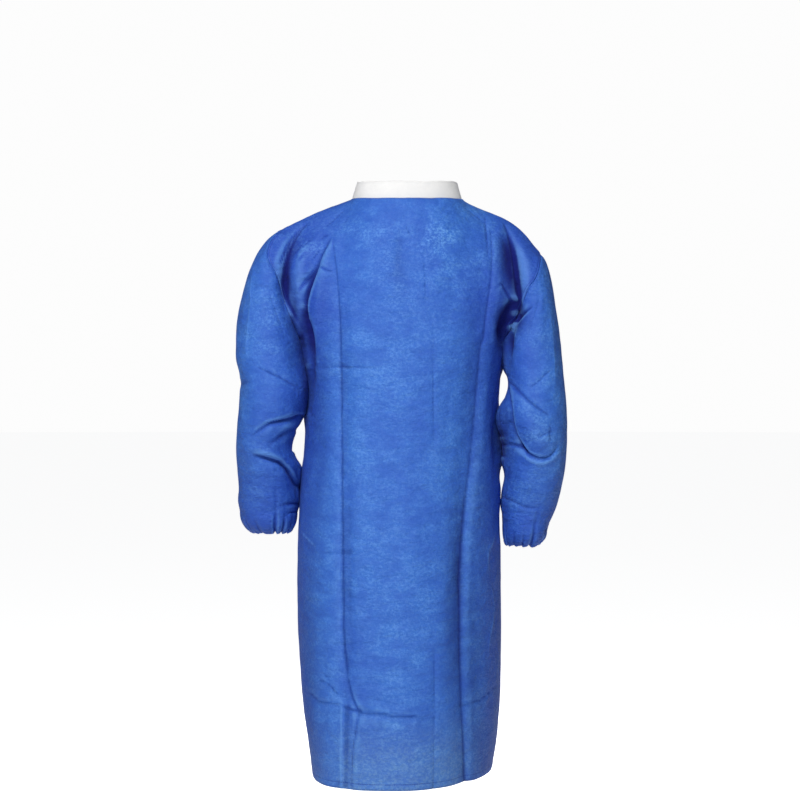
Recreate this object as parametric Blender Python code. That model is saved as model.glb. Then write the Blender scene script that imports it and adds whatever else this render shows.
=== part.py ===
"""Disposable lab coat, hollow and in its worn pose: one back, two overlapping fronts, two sleeves with
gathered elastic cuffs, a white stand collar and a row of snaps.

Metres. +Z is up, the fronts face -Y and the wearer's left is +X. The origin is in the middle of the neck
opening, where the coat hangs from the shoulders, and the neck edge dips a little below it behind. A height is
given as a drop below the origin.
"""

import math
from typing import NamedTuple

import bpy
import numpy as np

# Driving dimensions
WALL = 0.0015  # the cloth's wall
SEAM_GAP = 0.0003  # between pieces at a seam
HEM_DROP = 1.063  # the hem
UNDERARM_DROP = 0.268  # from here down the body is a closed ring of cloth
FRONT_OVERLAP = 0.036  # how far the fronts cross at the centre
NECK_SHIFT = -0.010  # the neck sits a little to the wearer's right
NECK_HALF_WIDTH = 0.104
NECK_BACK = 0.074
NECK_FRONT = 0.088
NECK_BACK_DROP = 0.007
NECK_SIDE_DROP = 0.003
NECK_FRONT_DROP = 0.062

# Shares of a half panel's width, from the centre to the side seam
NECK_SHARE = 0.36  # where the neck ends
TIP_SHARE = 0.76  # what the armhole leaves of the width at the shoulder tip

# Steps of the mesh
NECK_STEPS = 6
SHOULDER_STEPS = 11
ARMHOLE_STEPS = 10
BODY_STEPS = 17
SLEEVE_STEPS = 20
RING_SAMPLES = 97

# Roundness of the sections: 2 is an ellipse, more is squarer
FRONT_ROUNDNESS = 2.5
SLEEVE_ROUNDNESS = 2.2
SHOULDER_ARCH = 1.75
SIDE_PULL = 4  # how near the armhole the panel turns to meet it


class Level(NamedTuple):
    """One level of the body of the coat."""

    drop: float
    left: float  # half-width at the side seam, on the wearer's left
    right: float
    back: float  # reach behind the shoulder line
    front: float  # reach before it
    seam: float  # where the side seam lies, front to back
    flare: float  # how much wider the corner of the front is
    round_left: float  # roundness behind: 2 is an ellipse, more is squarer, less is flatter
    round_right: float


class Cut(NamedTuple):
    """One level of a sleeve."""

    drop: float
    outer: float
    inner: float
    middle: float  # centre, front to back
    depth: float  # half-depth


class Fold(NamedTuple):
    """A long fold: a ridge if its height is above 0, and a trough if below."""

    face: int  # 1 behind, -1 in front
    width: float
    height: float
    path: tuple  # (across, drop) points


class Seam(NamedTuple):
    """One point of an armhole's seam."""

    turn: float  # degrees round the sleeve from its outer side
    drop: float


BODY = (
    Level(0.268, 0.187, 0.190, 0.126, -0.138, -0.004, 0.000, 2.25, 2.20),
    Level(0.300, 0.183, 0.186, 0.127, -0.139, -0.016, 0.000, 2.20, 2.10),
    Level(0.330, 0.180, 0.184, 0.128, -0.140, -0.028, 0.001, 2.15, 2.05),
    Level(0.367, 0.1785, 0.1815, 0.129, -0.142, -0.034, 0.002, 2.15, 2.00),
    Level(0.404, 0.1785, 0.1795, 0.130, -0.144, -0.036, 0.002, 2.20, 2.00),
    Level(0.450, 0.1805, 0.1805, 0.132, -0.146, -0.034, 0.002, 2.25, 1.95),
    Level(0.520, 0.1855, 0.183, 0.137, -0.149, -0.030, 0.002, 2.35, 1.90),
    Level(0.580, 0.1895, 0.182, 0.142, -0.151, -0.028, 0.003, 2.40, 1.85),
    Level(0.650, 0.193, 0.184, 0.148, -0.154, -0.026, 0.005, 2.45, 1.80),
    Level(0.750, 0.1925, 0.185, 0.154, -0.158, -0.027, 0.009, 2.55, 1.80),
    Level(0.850, 0.189, 0.185, 0.159, -0.162, -0.029, 0.013, 2.65, 1.75),
    Level(0.940, 0.182, 0.182, 0.163, -0.166, -0.032, 0.016, 2.80, 1.75),
    Level(1.015, 0.171, 0.175, 0.166, -0.169, -0.035, 0.018, 2.95, 1.70),
    Level(1.063, 0.164, 0.167, 0.167, -0.170, -0.037, 0.020, 3.05, 1.70),
)

LEFT_SLEEVE = (
    Cut(0.057, 0.219, 0.192, 0.000, 0.024),
    Cut(0.067, 0.235, 0.194, 0.000, 0.036),
    Cut(0.078, 0.248, 0.196, 0.000, 0.045),
    Cut(0.096, 0.262, 0.198, 0.000, 0.054),
    Cut(0.122, 0.275, 0.200, 0.000, 0.062),
    Cut(0.152, 0.286, 0.200, 0.000, 0.067),
    Cut(0.189, 0.296, 0.198, 0.000, 0.071),
    Cut(0.226, 0.303, 0.194, 0.000, 0.074),
    Cut(0.268, 0.306, 0.187, 0.001, 0.076),
    Cut(0.300, 0.3055, 0.187, 0.004, 0.077),
    Cut(0.325, 0.299, 0.183, 0.008, 0.078),
    Cut(0.350, 0.2975, 0.1795, 0.012, 0.079),
    Cut(0.384, 0.299, 0.182, 0.013, 0.080),
    Cut(0.420, 0.303, 0.190, 0.009, 0.079),
    Cut(0.455, 0.3055, 0.202, 0.002, 0.076),
    Cut(0.500, 0.304, 0.191, -0.010, 0.071),
    Cut(0.540, 0.303, 0.193, -0.021, 0.066),
    Cut(0.565, 0.305, 0.1925, -0.027, 0.063),
    Cut(0.582, 0.302, 0.1945, -0.030, 0.060),
)

RIGHT_SLEEVE = (
    Cut(0.104, 0.257, 0.202, 0.000, 0.030),
    Cut(0.115, 0.265, 0.203, 0.000, 0.042),
    Cut(0.130, 0.271, 0.204, 0.000, 0.052),
    Cut(0.150, 0.276, 0.205, 0.000, 0.061),
    Cut(0.200, 0.284, 0.204, 0.000, 0.070),
    Cut(0.240, 0.290, 0.199, 0.000, 0.073),
    Cut(0.268, 0.293, 0.190, 0.001, 0.074),
    Cut(0.300, 0.296, 0.193, 0.004, 0.076),
    Cut(0.345, 0.300, 0.196, 0.010, 0.080),
    Cut(0.395, 0.304, 0.186, 0.013, 0.083),
    Cut(0.430, 0.305, 0.194, 0.009, 0.082),
    Cut(0.459, 0.305, 0.200, 0.003, 0.079),
    Cut(0.515, 0.301, 0.194, -0.012, 0.072),
    Cut(0.561, 0.292, 0.190, -0.025, 0.067),
    Cut(0.585, 0.285, 0.189, -0.031, 0.064),
    Cut(0.604, 0.277, 0.190, -0.034, 0.061),
)

LEFT_ARMHOLE = (
    Seam(0, 0.057),
    Seam(36, 0.062),
    Seam(54, 0.074),
    Seam(72, 0.106),
    Seam(90, 0.127),
    Seam(108, 0.144),
    Seam(126, 0.173),
    Seam(144, 0.219),
    Seam(162, 0.252),
    Seam(180, 0.268),
)

RIGHT_ARMHOLE = (
    Seam(0, 0.104),
    Seam(36, 0.110),
    Seam(62, 0.127),
    Seam(76, 0.142),
    Seam(90, 0.157),
    Seam(108, 0.171),
    Seam(135, 0.206),
    Seam(158, 0.243),
    Seam(180, 0.268),
)


class Arm(NamedTuple):
    """What differs between the two sleeves."""

    side: int
    sections: tuple
    armhole: tuple
    bulge: float  # how far the shoulder seam rises above a straight line
    bulge_skew: float  # above 1, it rises more towards the tip
    cuff_top: float
    cuff_end: float
    wrist: tuple  # centre of the cuff's opening, across and front to back
    folds: tuple


LEFT_ARM = Arm(
    1,
    LEFT_SLEEVE,
    LEFT_ARMHOLE,
    0.004,
    1.0,
    0.582,
    0.621,
    (0.242, -0.040),
    (
        Fold(1, 0.014, -0.009, ((0.262, 0.425), (0.225, 0.405), (0.190, 0.402))),
        Fold(1, 0.020, 0.006, ((0.270, 0.455), (0.235, 0.452), (0.212, 0.470))),
        Fold(1, 0.014, -0.010, ((0.262, 0.474), (0.222, 0.480), (0.196, 0.520))),
        Fold(1, 0.012, -0.004, ((0.262, 0.312), (0.225, 0.330), (0.190, 0.340))),
        Fold(-1, 0.018, -0.008, ((0.280, 0.400), (0.240, 0.415), (0.195, 0.440))),
        Fold(-1, 0.016, -0.006, ((0.270, 0.470), (0.235, 0.460), (0.200, 0.455))),
    ),
)
RIGHT_ARM = Arm(
    -1,
    RIGHT_SLEEVE,
    RIGHT_ARMHOLE,
    0.021,
    1.6,
    0.604,
    0.645,
    (0.227, -0.044),
    (
        Fold(1, 0.022, 0.008, ((-0.205, 0.400), (-0.240, 0.430), (-0.280, 0.425))),
        Fold(1, 0.012, -0.009, ((-0.200, 0.425), (-0.232, 0.470), (-0.280, 0.465))),
        Fold(1, 0.012, -0.005, ((-0.200, 0.340), (-0.230, 0.366), (-0.262, 0.390))),
        Fold(-1, 0.018, -0.008, ((-0.285, 0.410), (-0.240, 0.420), (-0.198, 0.445))),
        Fold(-1, 0.016, -0.006, ((-0.270, 0.480), (-0.235, 0.470), (-0.200, 0.460))),
    ),
)

ARMHOLE_FOLDS = (
    # behind, along each armhole, and the same in front
    Fold(1, 0.014, -0.012, ((0.165, 0.052), (0.203, 0.095), (0.213, 0.150), (0.205, 0.225))),
    Fold(1, 0.014, -0.012, ((-0.185, 0.060), (-0.207, 0.100), (-0.213, 0.160), (-0.205, 0.225))),
    Fold(-1, 0.014, -0.011, ((0.170, 0.060), (0.200, 0.110), (0.210, 0.190))),
    Fold(-1, 0.014, -0.011, ((-0.180, 0.065), (-0.205, 0.110), (-0.210, 0.200))),
)
BODY_FOLDS = (
    # behind: the drag from the shoulder to the underarm
    Fold(1, 0.014, 0.007, ((0.120, 0.055), (0.140, 0.110), (0.160, 0.190))),
    Fold(1, 0.014, -0.013, ((0.147, 0.130), (0.166, 0.185), (0.174, 0.240), (0.172, 0.300))),
    Fold(1, 0.014, -0.012, ((-0.172, 0.120), (-0.177, 0.180), (-0.176, 0.240), (-0.172, 0.300))),
    # behind: the two long folds
    Fold(1, 0.016, -0.005, ((0.117, 0.100), (0.110, 0.330), (0.104, 0.650), (0.103, 0.880), (0.110, HEM_DROP))),
    Fold(
        1, 0.018, -0.005,
        ((-0.156, 0.110), (-0.140, 0.310), (-0.115, 0.520), (-0.113, 0.800), (-0.114, HEM_DROP)),
    ),
    Fold(1, 0.022, 0.004, ((-0.168, 0.200), (-0.152, 0.400), (-0.140, 0.600), (-0.145, 0.800))),
    # in front: two long folds
    Fold(-1, 0.016, -0.006, ((0.120, 0.150), (0.122, 0.500), (0.118, HEM_DROP))),
    Fold(-1, 0.016, -0.006, ((-0.125, 0.160), (-0.128, 0.520), (-0.124, HEM_DROP))),
)

# Collar
COLLAR_ROWS = 5
COLLAR_WALL = 0.0016
COLLAR_CLEARANCE = 0.0021  # from the neck edge to the collar's outer face
COLLAR_TUCK = 0.007  # how far it reaches down inside the neck edge
COLLAR_HEIGHT = 0.031
COLLAR_LEAN = 0.009  # how far it leans in over its height
COLLAR_OPENING = 0.006  # between its two ends at the front

# Cuffs
CUFF_GATHERS = 14
POINTS_PER_GATHER = 4
CUFF_ROWS = 5
CUFF_HALF_WIDTH = 0.028
CUFF_HALF_DEPTH = 0.030
GATHER_HEIGHT = 0.0022

# Snaps: a cap on the outer front and the flat back of its stud inside the inner front
SNAP_COUNT = 5
FIRST_SNAP = 0.095
SNAP_PITCH = 0.150
SNAP_GAP = 0.0005
SNAP_SIDES = 16
CAP_PROFILE = ((0.0062, 0.0), (0.0062, 0.0007), (0.0055, 0.0017), (0.0034, 0.0023))  # radius, height
STUD_PROFILE = ((0.0052, 0.0), (0.0052, 0.0006), (0.0046, 0.0011), (0.0020, 0.0011))


def read(table, column, at, key="drop"):
    """A column of a table at any value of its key, on a smooth curve through its rows."""
    keys = np.array([getattr(row, key) for row in table], float)
    values = np.array([getattr(row, column) for row in table], float)
    slopes = np.gradient(values, keys)
    at = np.clip(at, keys[0], keys[-1])
    i = np.clip(np.searchsorted(keys, at) - 1, 0, len(keys) - 2)
    step = keys[i + 1] - keys[i]
    t = (at - keys[i]) / step
    return (
        (1 + 2 * t) * (1 - t) ** 2 * values[i]
        + t * (1 - t) ** 2 * step * slopes[i]
        + t**2 * (3 - 2 * t) * values[i + 1]
        + t**2 * (t - 1) * step * slopes[i + 1]
    )


def ease(t):
    t = np.clip(t, 0, 1)
    return t * t * (3 - 2 * t)


def unit(vectors):
    length = np.linalg.norm(vectors, axis=-1, keepdims=True)
    return vectors / np.maximum(length, 1e-12)


def ring(side, face, share, drop):
    """A point of the body's ring. Share runs along the cloth, from 0 at the centre to 1 at the side seam."""
    angle = np.linspace(0, math.pi / 2, RING_SAMPLES)
    seam = read(BODY, "seam", drop)
    width = read(BODY, "left" if side > 0 else "right", drop)
    if face > 0:
        power = 2 / read(BODY, "round_left" if side > 0 else "round_right", drop)
        reach = read(BODY, "back", drop)
    else:
        power = 2 / FRONT_ROUNDNESS
        reach = read(BODY, "front", drop)
        width = width + read(BODY, "flare", drop) * np.sin(2 * angle)
    across = width * np.sin(angle) ** power
    out = seam + (reach - seam) * np.clip(np.cos(angle), 0, 1) ** power
    length = np.concatenate([[0], np.cumsum(np.hypot(np.diff(across), np.diff(out)))])
    at = share * length[-1]
    return np.array([side * np.interp(at, length, across), np.interp(at, length, out), -drop])


def tube(arm, angle, drop):
    """A point of a sleeve. Angle 0 is its outer side, 90 degrees its back and 180 its inner side."""
    outer = read(arm.sections, "outer", drop)
    inner = read(arm.sections, "inner", drop)
    power = 2 / SLEEVE_ROUNDNESS
    across = math.copysign(abs(math.cos(angle)) ** power, math.cos(angle))
    out = math.copysign(abs(math.sin(angle)) ** power, math.sin(angle))
    x = (outer + inner) / 2 + (outer - inner) / 2 * across
    y = read(arm.sections, "middle", drop) + read(arm.sections, "depth", drop) * out
    return np.array([arm.side * x, y, -drop])


def armhole(arm, angle):
    """A point of the armhole's seam, which lies on the sleeve's own tube."""
    turn = abs(math.degrees(math.remainder(angle, 2 * math.pi)))
    return tube(arm, angle, read(arm.armhole, "drop", turn, "turn"))


def neck(side, face, share):
    """A point of the neck edge, from 0 at the centre back or front to 1 at the side."""
    angle = share * math.pi / 2
    reach = NECK_BACK if face > 0 else -NECK_FRONT
    low = NECK_BACK_DROP if face > 0 else NECK_FRONT_DROP
    drop = low + (NECK_SIDE_DROP - low) * math.sin(angle) ** 2
    across = NECK_SHIFT + side * NECK_HALF_WIDTH * math.sin(angle)
    return np.array([across, reach * math.cos(angle), -drop])


def top_edge(arm, face, share):
    """A point of a half panel's top: the neck edge, and then the shoulder seam out to the tip."""
    if share <= NECK_SHARE:
        return neck(arm.side, face, share / NECK_SHARE)
    part = (share - NECK_SHARE) / (1 - NECK_SHARE)
    start, end = neck(arm.side, face, 1), armhole(arm, 0)
    bulge = arm.bulge * math.sin(math.pi * part**arm.bulge_skew)
    return start + (end - start) * part + np.array([0, 0, bulge])


def yoke_point(arm, side, face, share, down):
    """A point above the underarm, from 0 at the panel's top to 1 at the underarm's level."""
    blend = np.array([ease(down), (1 - (1 - down) ** SHOULDER_ARCH) ** (1 / SHOULDER_ARCH), down])
    lost = (1 - TIP_SHARE) * (1 - down**3)

    def plain(at):
        top = top_edge(arm, face, at)
        if side != arm.side:
            top[0] = 2 * NECK_SHIFT - top[0]
        return top + (ring(side, face, at - lost * at**3, UNDERARM_DROP) - top) * blend

    if side != arm.side:
        return plain(share)
    pull = armhole(arm, face * math.pi * down) - plain(1)
    return plain(share) + pull * share**SIDE_PULL


def column(arm, side, face, share):
    """A column of the body's cloth, from its top to the hem."""
    points = [yoke_point(arm, side, face, share, r / ARMHOLE_STEPS) for r in range(ARMHOLE_STEPS + 1)]
    for r in range(1, BODY_STEPS + 1):
        drop = UNDERARM_DROP + (HEM_DROP - UNDERARM_DROP) * r / BODY_STEPS
        points.append(ring(side, face, share, drop))
    return points


def grid_normals(grid, closed):
    """The outward normals of a grid of points, rows down and columns round."""
    down = np.gradient(grid, axis=0)
    if closed:
        round_it = (np.roll(grid, -1, axis=1) - np.roll(grid, 1, axis=1)) / 2
    else:
        round_it = np.gradient(grid, axis=1)
    return unit(np.cross(down, round_it))


def fold_heights(grid, folds, name):
    """How far each point of a grid is moved out by the folds of its own face, behind or in front."""
    if name.startswith("sleeve"):
        facing = np.sign(grid[..., 1] - grid[..., 1].mean(axis=1, keepdims=True) + 1e-6)
        facing[0] = np.sign(grid[0, :, 1] + 1e-6)
    else:
        facing = 1 if name == "back" else -1
    total = np.zeros(grid.shape[:2])
    across, drop = grid[..., 0], -grid[..., 2]
    for fold in folds:
        path = np.array(fold.path)
        nearest = np.full(total.shape, np.inf)
        place = np.zeros(total.shape)
        steps = np.linalg.norm(np.diff(path, axis=0), axis=1)
        along = np.concatenate([[0], np.cumsum(steps)]) / steps.sum()
        for a, b, from_share, to_share in zip(path, path[1:], along, along[1:]):
            line = b - a
            t = ((across - a[0]) * line[0] + (drop - a[1]) * line[1]) / (line @ line)
            t = np.clip(t, 0, 1)
            away = np.hypot(across - a[0] - t * line[0], drop - a[1] - t * line[1])
            closer = away < nearest
            nearest = np.where(closer, away, nearest)
            place = np.where(closer, from_share + (to_share - from_share) * t, place)
        ends = ease(place / 0.25) * ease((1 - place) / 0.2)
        runs_to_hem = path[-1, 1] >= HEM_DROP
        ends = np.where(runs_to_hem & (place > 0.5), 1, ends)
        total += fold.height * np.exp(-((nearest / fold.width) ** 2)) * ends * (facing * fold.face > 0)
    return total


def body_panels():
    """The grids of the body's three panels, by name. Their columns run from the left front round the back."""
    neck_shares = np.linspace(0, NECK_SHARE, NECK_STEPS + 1)
    shares = np.concatenate([neck_shares, np.linspace(NECK_SHARE, 1, SHOULDER_STEPS + 1)[1:]])
    edge = FRONT_OVERLAP / 2 / NECK_HALF_WIDTH * NECK_SHARE * 2 / math.pi
    halves = {}
    for arm in (LEFT_ARM, RIGHT_ARM):
        crossing = [column(arm, -arm.side, -1, edge)]
        halves[arm.side, -1] = crossing + [column(arm, arm.side, -1, share) for share in shares]
        halves[arm.side, 1] = [column(arm, arm.side, 1, share) for share in shares]
    panels = {
        "front_left": halves[1, -1],
        "back": halves[1, 1][::-1] + halves[-1, 1][1:],
        "front_right": halves[-1, -1][::-1],
    }
    return {name: np.array(columns).transpose(1, 0, 2) for name, columns in panels.items()}


def mesh_object(name, points, faces, material):
    mesh = bpy.data.meshes.new(name)
    mesh.from_pydata([tuple(p) for p in points], [], faces)
    mesh.materials.append(material)
    mesh.shade_smooth()
    mesh.set_sharp_from_angle(angle=math.radians(40))
    made = bpy.data.objects.new(name, mesh)
    bpy.context.scene.collection.objects.link(made)
    return made


def wall_object(name, outer, inner, closed, material):
    """A wall between two grids of points, closed at its edges."""
    rows, across = outer.shape[:2]
    points = np.concatenate([outer.reshape(-1, 3), inner.reshape(-1, 3)])
    inside = rows * across
    last = across if closed else across - 1
    faces = []
    for r in range(rows - 1):
        for c in range(last):
            a, b = r * across + c, r * across + (c + 1) % across
            d, e = a + across, b + across
            faces.append((a, d, e, b))
            faces.append((inside + a, inside + b, inside + e, inside + d))
    for c in range(last):
        a, b = c, (c + 1) % across
        faces.append((a, b, inside + b, inside + a))
        a, b = (rows - 1) * across + c, (rows - 1) * across + (c + 1) % across
        faces.append((b, a, inside + a, inside + b))
    if not closed:
        for r in range(rows - 1):
            a, b = r * across, (r + 1) * across
            faces.append((a, inside + a, inside + b, b))
            a, b = a + across - 1, b + across - 1
            faces.append((b, inside + b, inside + a, a))
    return mesh_object(name, points, faces, material)


def share_normals(normals, groups):
    """Gives the points that meet at a seam the same normal where their walls run on into each other.

    Returns, for each point, how far it keeps a normal of its own: 0 on a smooth seam, up to 1 at the underarm,
    where the sleeve and the body face each other.
    """
    own = {name: np.zeros(normal.shape[:2]) for name, normal in normals.items()}
    for group in groups:
        mean = unit(sum(normals[name][row, column] for name, row, column in group))
        for name, row, column in group:
            normal = normals[name][row, column]
            alike = ease((normal @ mean - 0.5) / 0.3)
            normals[name][row, column] = unit(normal + (mean - normal) * alike)
            own[name][row, column] = 1 - alike
    return own


def seam_points():
    """Groups of the grid points that meet at a seam, each as its piece's name, row and column."""
    side = NECK_STEPS + SHOULDER_STEPS
    groups = []
    for arm, name in ((LEFT_ARM, "left"), (RIGHT_ARM, "right")):
        front, sleeve = f"front_{name}", f"sleeve_{name}"

        def at(piece, row, station):
            if piece == "back":
                return piece, row, side - arm.side * station
            return piece, row, 1 + station if arm is LEFT_ARM else side - station

        for station in range(NECK_STEPS, side):
            groups.append((at(front, 0, station), at("back", 0, station)))
        groups.append((at(front, 0, side), at("back", 0, side), (sleeve, 0, 0)))
        for row in range(1, ARMHOLE_STEPS):
            groups.append((at(front, row, side), (sleeve, 0, -arm.side * row)))
            groups.append((at("back", row, side), (sleeve, 0, arm.side * row)))
        for row in range(ARMHOLE_STEPS, ARMHOLE_STEPS + BODY_STEPS + 1):
            groups.append((at(front, row, side), at("back", row, side)))
    return groups


def open_seam(grid, index, towards, axis):
    """Moves an edge of a grid half a seam's gap towards its next row or column."""
    edge = [slice(None)] * 2
    edge[axis] = index
    next_to = [slice(None)] * 2
    next_to[axis] = towards
    grid[tuple(edge)] += unit(grid[tuple(next_to)] - grid[tuple(edge)]) * SEAM_GAP / 2


def sleeve_grid(arm):
    """A sleeve's cloth, from the armhole to the cuff. Its columns match the body's round the armhole."""
    count = 2 * ARMHOLE_STEPS
    grid = np.zeros((SLEEVE_STEPS + 1, count, 3))
    for c in range(count):
        angle = arm.side * 2 * math.pi * c / count
        start = -armhole(arm, angle)[2]
        for r in range(SLEEVE_STEPS + 1):
            drop = start + (arm.cuff_top - start) * r / SLEEVE_STEPS
            grid[r, c] = tube(arm, angle, drop)
    return grid


def cuff_object(arm, name, material):
    """The gathered end of a sleeve and its elastic hem."""
    count = CUFF_GATHERS * POINTS_PER_GATHER
    grid = np.zeros((CUFF_ROWS + 1, count, 3))
    start_middle = read(arm.sections, "middle", arm.cuff_top)
    start_depth = read(arm.sections, "depth", arm.cuff_top)
    outer, inner = (read(arm.sections, key, arm.cuff_top) for key in ("outer", "inner"))
    for r in range(CUFF_ROWS + 1):
        t = r / CUFF_ROWS
        drawn = 1 - math.sqrt(1 - (0.98 * t) ** 2)
        half_width = (outer - inner) / 2 * (1 - drawn) + CUFF_HALF_WIDTH * drawn
        half_depth = start_depth * (1 - drawn) + CUFF_HALF_DEPTH * drawn
        x = (outer + inner) / 2 * (1 - drawn) + arm.wrist[0] * drawn
        y = start_middle * (1 - drawn) + arm.wrist[1] * drawn
        power = 2 / (SLEEVE_ROUNDNESS * (1 - t) + 2 * t)
        for c in range(count):
            angle = arm.side * 2 * math.pi * c / count
            wave = GATHER_HEIGHT * ease(t * 1.4) * math.cos(CUFF_GATHERS * 2 * math.pi * c / count)
            across = math.copysign(abs(math.cos(angle)) ** power, math.cos(angle))
            out = math.copysign(abs(math.sin(angle)) ** power, math.sin(angle))
            grid[r, c] = (
                arm.side * (x + (half_width + wave) * across),
                y + (half_depth + wave) * out,
                -arm.cuff_top - (arm.cuff_end - arm.cuff_top) * t,
            )
    grid[0, :, 2] -= SEAM_GAP
    normals = grid_normals(grid, closed=True)
    # the sleeve above has fewer columns, so the first ring keeps inside its flat facets
    level = normals.copy()
    level[0, :, 2] = 0
    normals[0] = unit(level[0])
    return wall_object(name, grid, grid - normals * WALL, True, material)


def collar_object(material):
    """A stand collar that rises inside the neck edge and is open at the front."""
    parts = [step / NECK_STEPS for step in range(NECK_STEPS + 1)]
    ends = [COLLAR_OPENING / 2 / NECK_HALF_WIDTH * 2 / math.pi]
    places = [(1, -1, part) for part in ends + parts[1:]] + [(1, 1, part) for part in parts[-2::-1]]
    places += [(-side, face, part) for side, face, part in places[-2::-1]]
    grid = np.zeros((COLLAR_ROWS + 1, len(places), 3))
    for c, (side, face, part) in enumerate(places):
        edge = neck(side, face, part)
        inward = unit(np.array([NECK_SHIFT, 0, edge[2]]) - edge)
        for r in range(COLLAR_ROWS + 1):
            rise = COLLAR_HEIGHT - (COLLAR_HEIGHT + COLLAR_TUCK) * r / COLLAR_ROWS
            lean = COLLAR_CLEARANCE + COLLAR_LEAN * max(rise, 0) / COLLAR_HEIGHT
            grid[r, c] = edge + inward * lean + np.array([0, 0, rise])
    normals = grid_normals(grid, closed=False)
    return wall_object("collar", grid, grid - normals * COLLAR_WALL, False, material)


def snap_object(name, seat, normal, profile, material):
    """A round piece that lies on the cloth at a seat, built up from its rings."""
    side = unit(np.cross(normal, (0, 0, 1)))
    up = np.cross(normal, side)
    points = []
    for radius, height in profile:
        for i in range(SNAP_SIDES):
            turn = 2 * math.pi * i / SNAP_SIDES
            spoke = side * math.cos(turn) + up * math.sin(turn)
            points.append(seat + normal * (SNAP_GAP + height) + spoke * radius)
    faces = [tuple(reversed(range(SNAP_SIDES)))]
    for level in range(len(profile) - 1):
        for i in range(SNAP_SIDES):
            a = level * SNAP_SIDES + i
            b = level * SNAP_SIDES + (i + 1) % SNAP_SIDES
            faces.append((a, b, b + SNAP_SIDES, a + SNAP_SIDES))
    top = (len(profile) - 1) * SNAP_SIDES
    faces.append(tuple(range(top, top + SNAP_SIDES)))
    return mesh_object(name, points, faces, material)


def seat_on(points, normals, drop):
    """The point of a column at a drop, and its normal."""
    drops = -points[:, 2]
    seat = np.array([np.interp(drop, drops, points[:, k]) for k in range(3)])
    normal = np.array([np.interp(drop, drops, normals[:, k]) for k in range(3)])
    return seat, unit(normal)


def add_snaps(grids, normals, material):
    for i in range(SNAP_COUNT):
        drop = FIRST_SNAP + SNAP_PITCH * i
        seat, normal = seat_on(grids["front_left"][:, 1], normals["front_left"][:, 1], drop)
        snap_object(f"snap_cap_{i + 1}", seat, normal, CAP_PROFILE, material)
        seat, normal = seat_on(grids["front_right"][:, -2], normals["front_right"][:, -2], drop)
        snap_object(f"snap_stud_{i + 1}", seat - normal * WALL, -normal, STUD_PROFILE, material)


def material(name, colour, roughness):
    made = bpy.data.materials.new(name)
    made.use_nodes = True
    shader = made.node_tree.nodes["Principled BSDF"]
    shader.inputs["Base Color"].default_value = (*colour, 1)
    shader.inputs["Roughness"].default_value = roughness
    shader.inputs["Metallic"].default_value = 0
    return made


def main():
    for old in list(bpy.data.objects):
        bpy.data.objects.remove(old)
    blue = material("blue_nonwoven", (0.03, 0.12, 0.55), 0.75)
    white = material("white_knit", (0.82, 0.82, 0.82), 0.85)
    plastic = material("snap_plastic", (0.80, 0.82, 0.85), 0.40)

    bases = body_panels()
    heights = {name: fold_heights(base, BODY_FOLDS + ARMHOLE_FOLDS, name) for name, base in bases.items()}
    for arm, name in ((LEFT_ARM, "sleeve_left"), (RIGHT_ARM, "sleeve_right")):
        bases[name] = sleeve_grid(arm)
        heights[name] = fold_heights(bases[name], arm.folds + ARMHOLE_FOLDS, name)
    groups = seam_points()
    for group in groups:
        mean = sum(heights[name][row, column] for name, row, column in group) / len(group)
        for name, row, column in group:
            heights[name][row, column] = mean
    normals = {name: grid_normals(base, name.startswith("sleeve")) for name, base in bases.items()}
    share_normals(normals, groups)
    grids = {name: base + normals[name] * heights[name][..., None] for name, base in bases.items()}
    normals = {name: grid_normals(grid, name.startswith("sleeve")) for name, grid in grids.items()}
    own = share_normals(normals, groups)
    for name, grid in grids.items():
        grid -= normals[name] * own[name][..., None] * SEAM_GAP

    lift = np.array([1, 1, 1, 0.35]) * (WALL + SEAM_GAP)
    grids["front_left"][:, :4] += normals["front_left"][:, :4] * lift[None, :, None]
    for name, grid in grids.items():
        closed = name.startswith("sleeve")
        open_seam(grid, 0, 1, 0)
        if closed:
            normals[name][-1, :, 2] = 0
            normals[name][-1] = unit(normals[name][-1])
        else:
            open_seam(grid, 0, 1, 1)
            open_seam(grid, -1, -2, 1)
        wall_object(name, grid, grid - normals[name] * WALL, closed, blue)
    for arm, name in ((LEFT_ARM, "left"), (RIGHT_ARM, "right")):
        cuff_object(arm, f"cuff_{name}", blue)
    add_snaps(grids, normals, plastic)
    collar_object(white)


main()
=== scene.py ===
"""Looks of the disposable lab coat: embossed blue nonwoven cloth, a white stand collar, snaps and gathered cuffs.

Metres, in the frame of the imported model: +Z is up, the fronts face -Y and the wearer's left is +X. A height is
given as a drop below the origin, the middle of the neck opening. Creases are marked in millimetres.
"""

import logging
import math
from dataclasses import dataclass, field
from enum import Enum
from typing import NamedTuple

import bmesh
import bpy
import numpy as np
from mathutils import Matrix, Vector, noise


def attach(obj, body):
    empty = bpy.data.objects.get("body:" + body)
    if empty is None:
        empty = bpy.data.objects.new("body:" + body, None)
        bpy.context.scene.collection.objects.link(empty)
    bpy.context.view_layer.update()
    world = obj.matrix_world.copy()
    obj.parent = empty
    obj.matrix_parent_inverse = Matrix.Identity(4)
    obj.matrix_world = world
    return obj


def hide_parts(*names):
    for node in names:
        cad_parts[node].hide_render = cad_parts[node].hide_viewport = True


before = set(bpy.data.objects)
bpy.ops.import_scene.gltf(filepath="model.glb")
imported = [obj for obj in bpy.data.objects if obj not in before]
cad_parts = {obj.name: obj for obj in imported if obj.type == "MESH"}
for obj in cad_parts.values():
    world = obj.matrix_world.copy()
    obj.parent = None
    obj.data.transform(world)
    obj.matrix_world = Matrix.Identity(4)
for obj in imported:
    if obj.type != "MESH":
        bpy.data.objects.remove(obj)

Array = np.ndarray
Colour = tuple[float, float, float, float]
Knot = tuple[float, float, float, float]
Triple = tuple[float, float, float]
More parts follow.
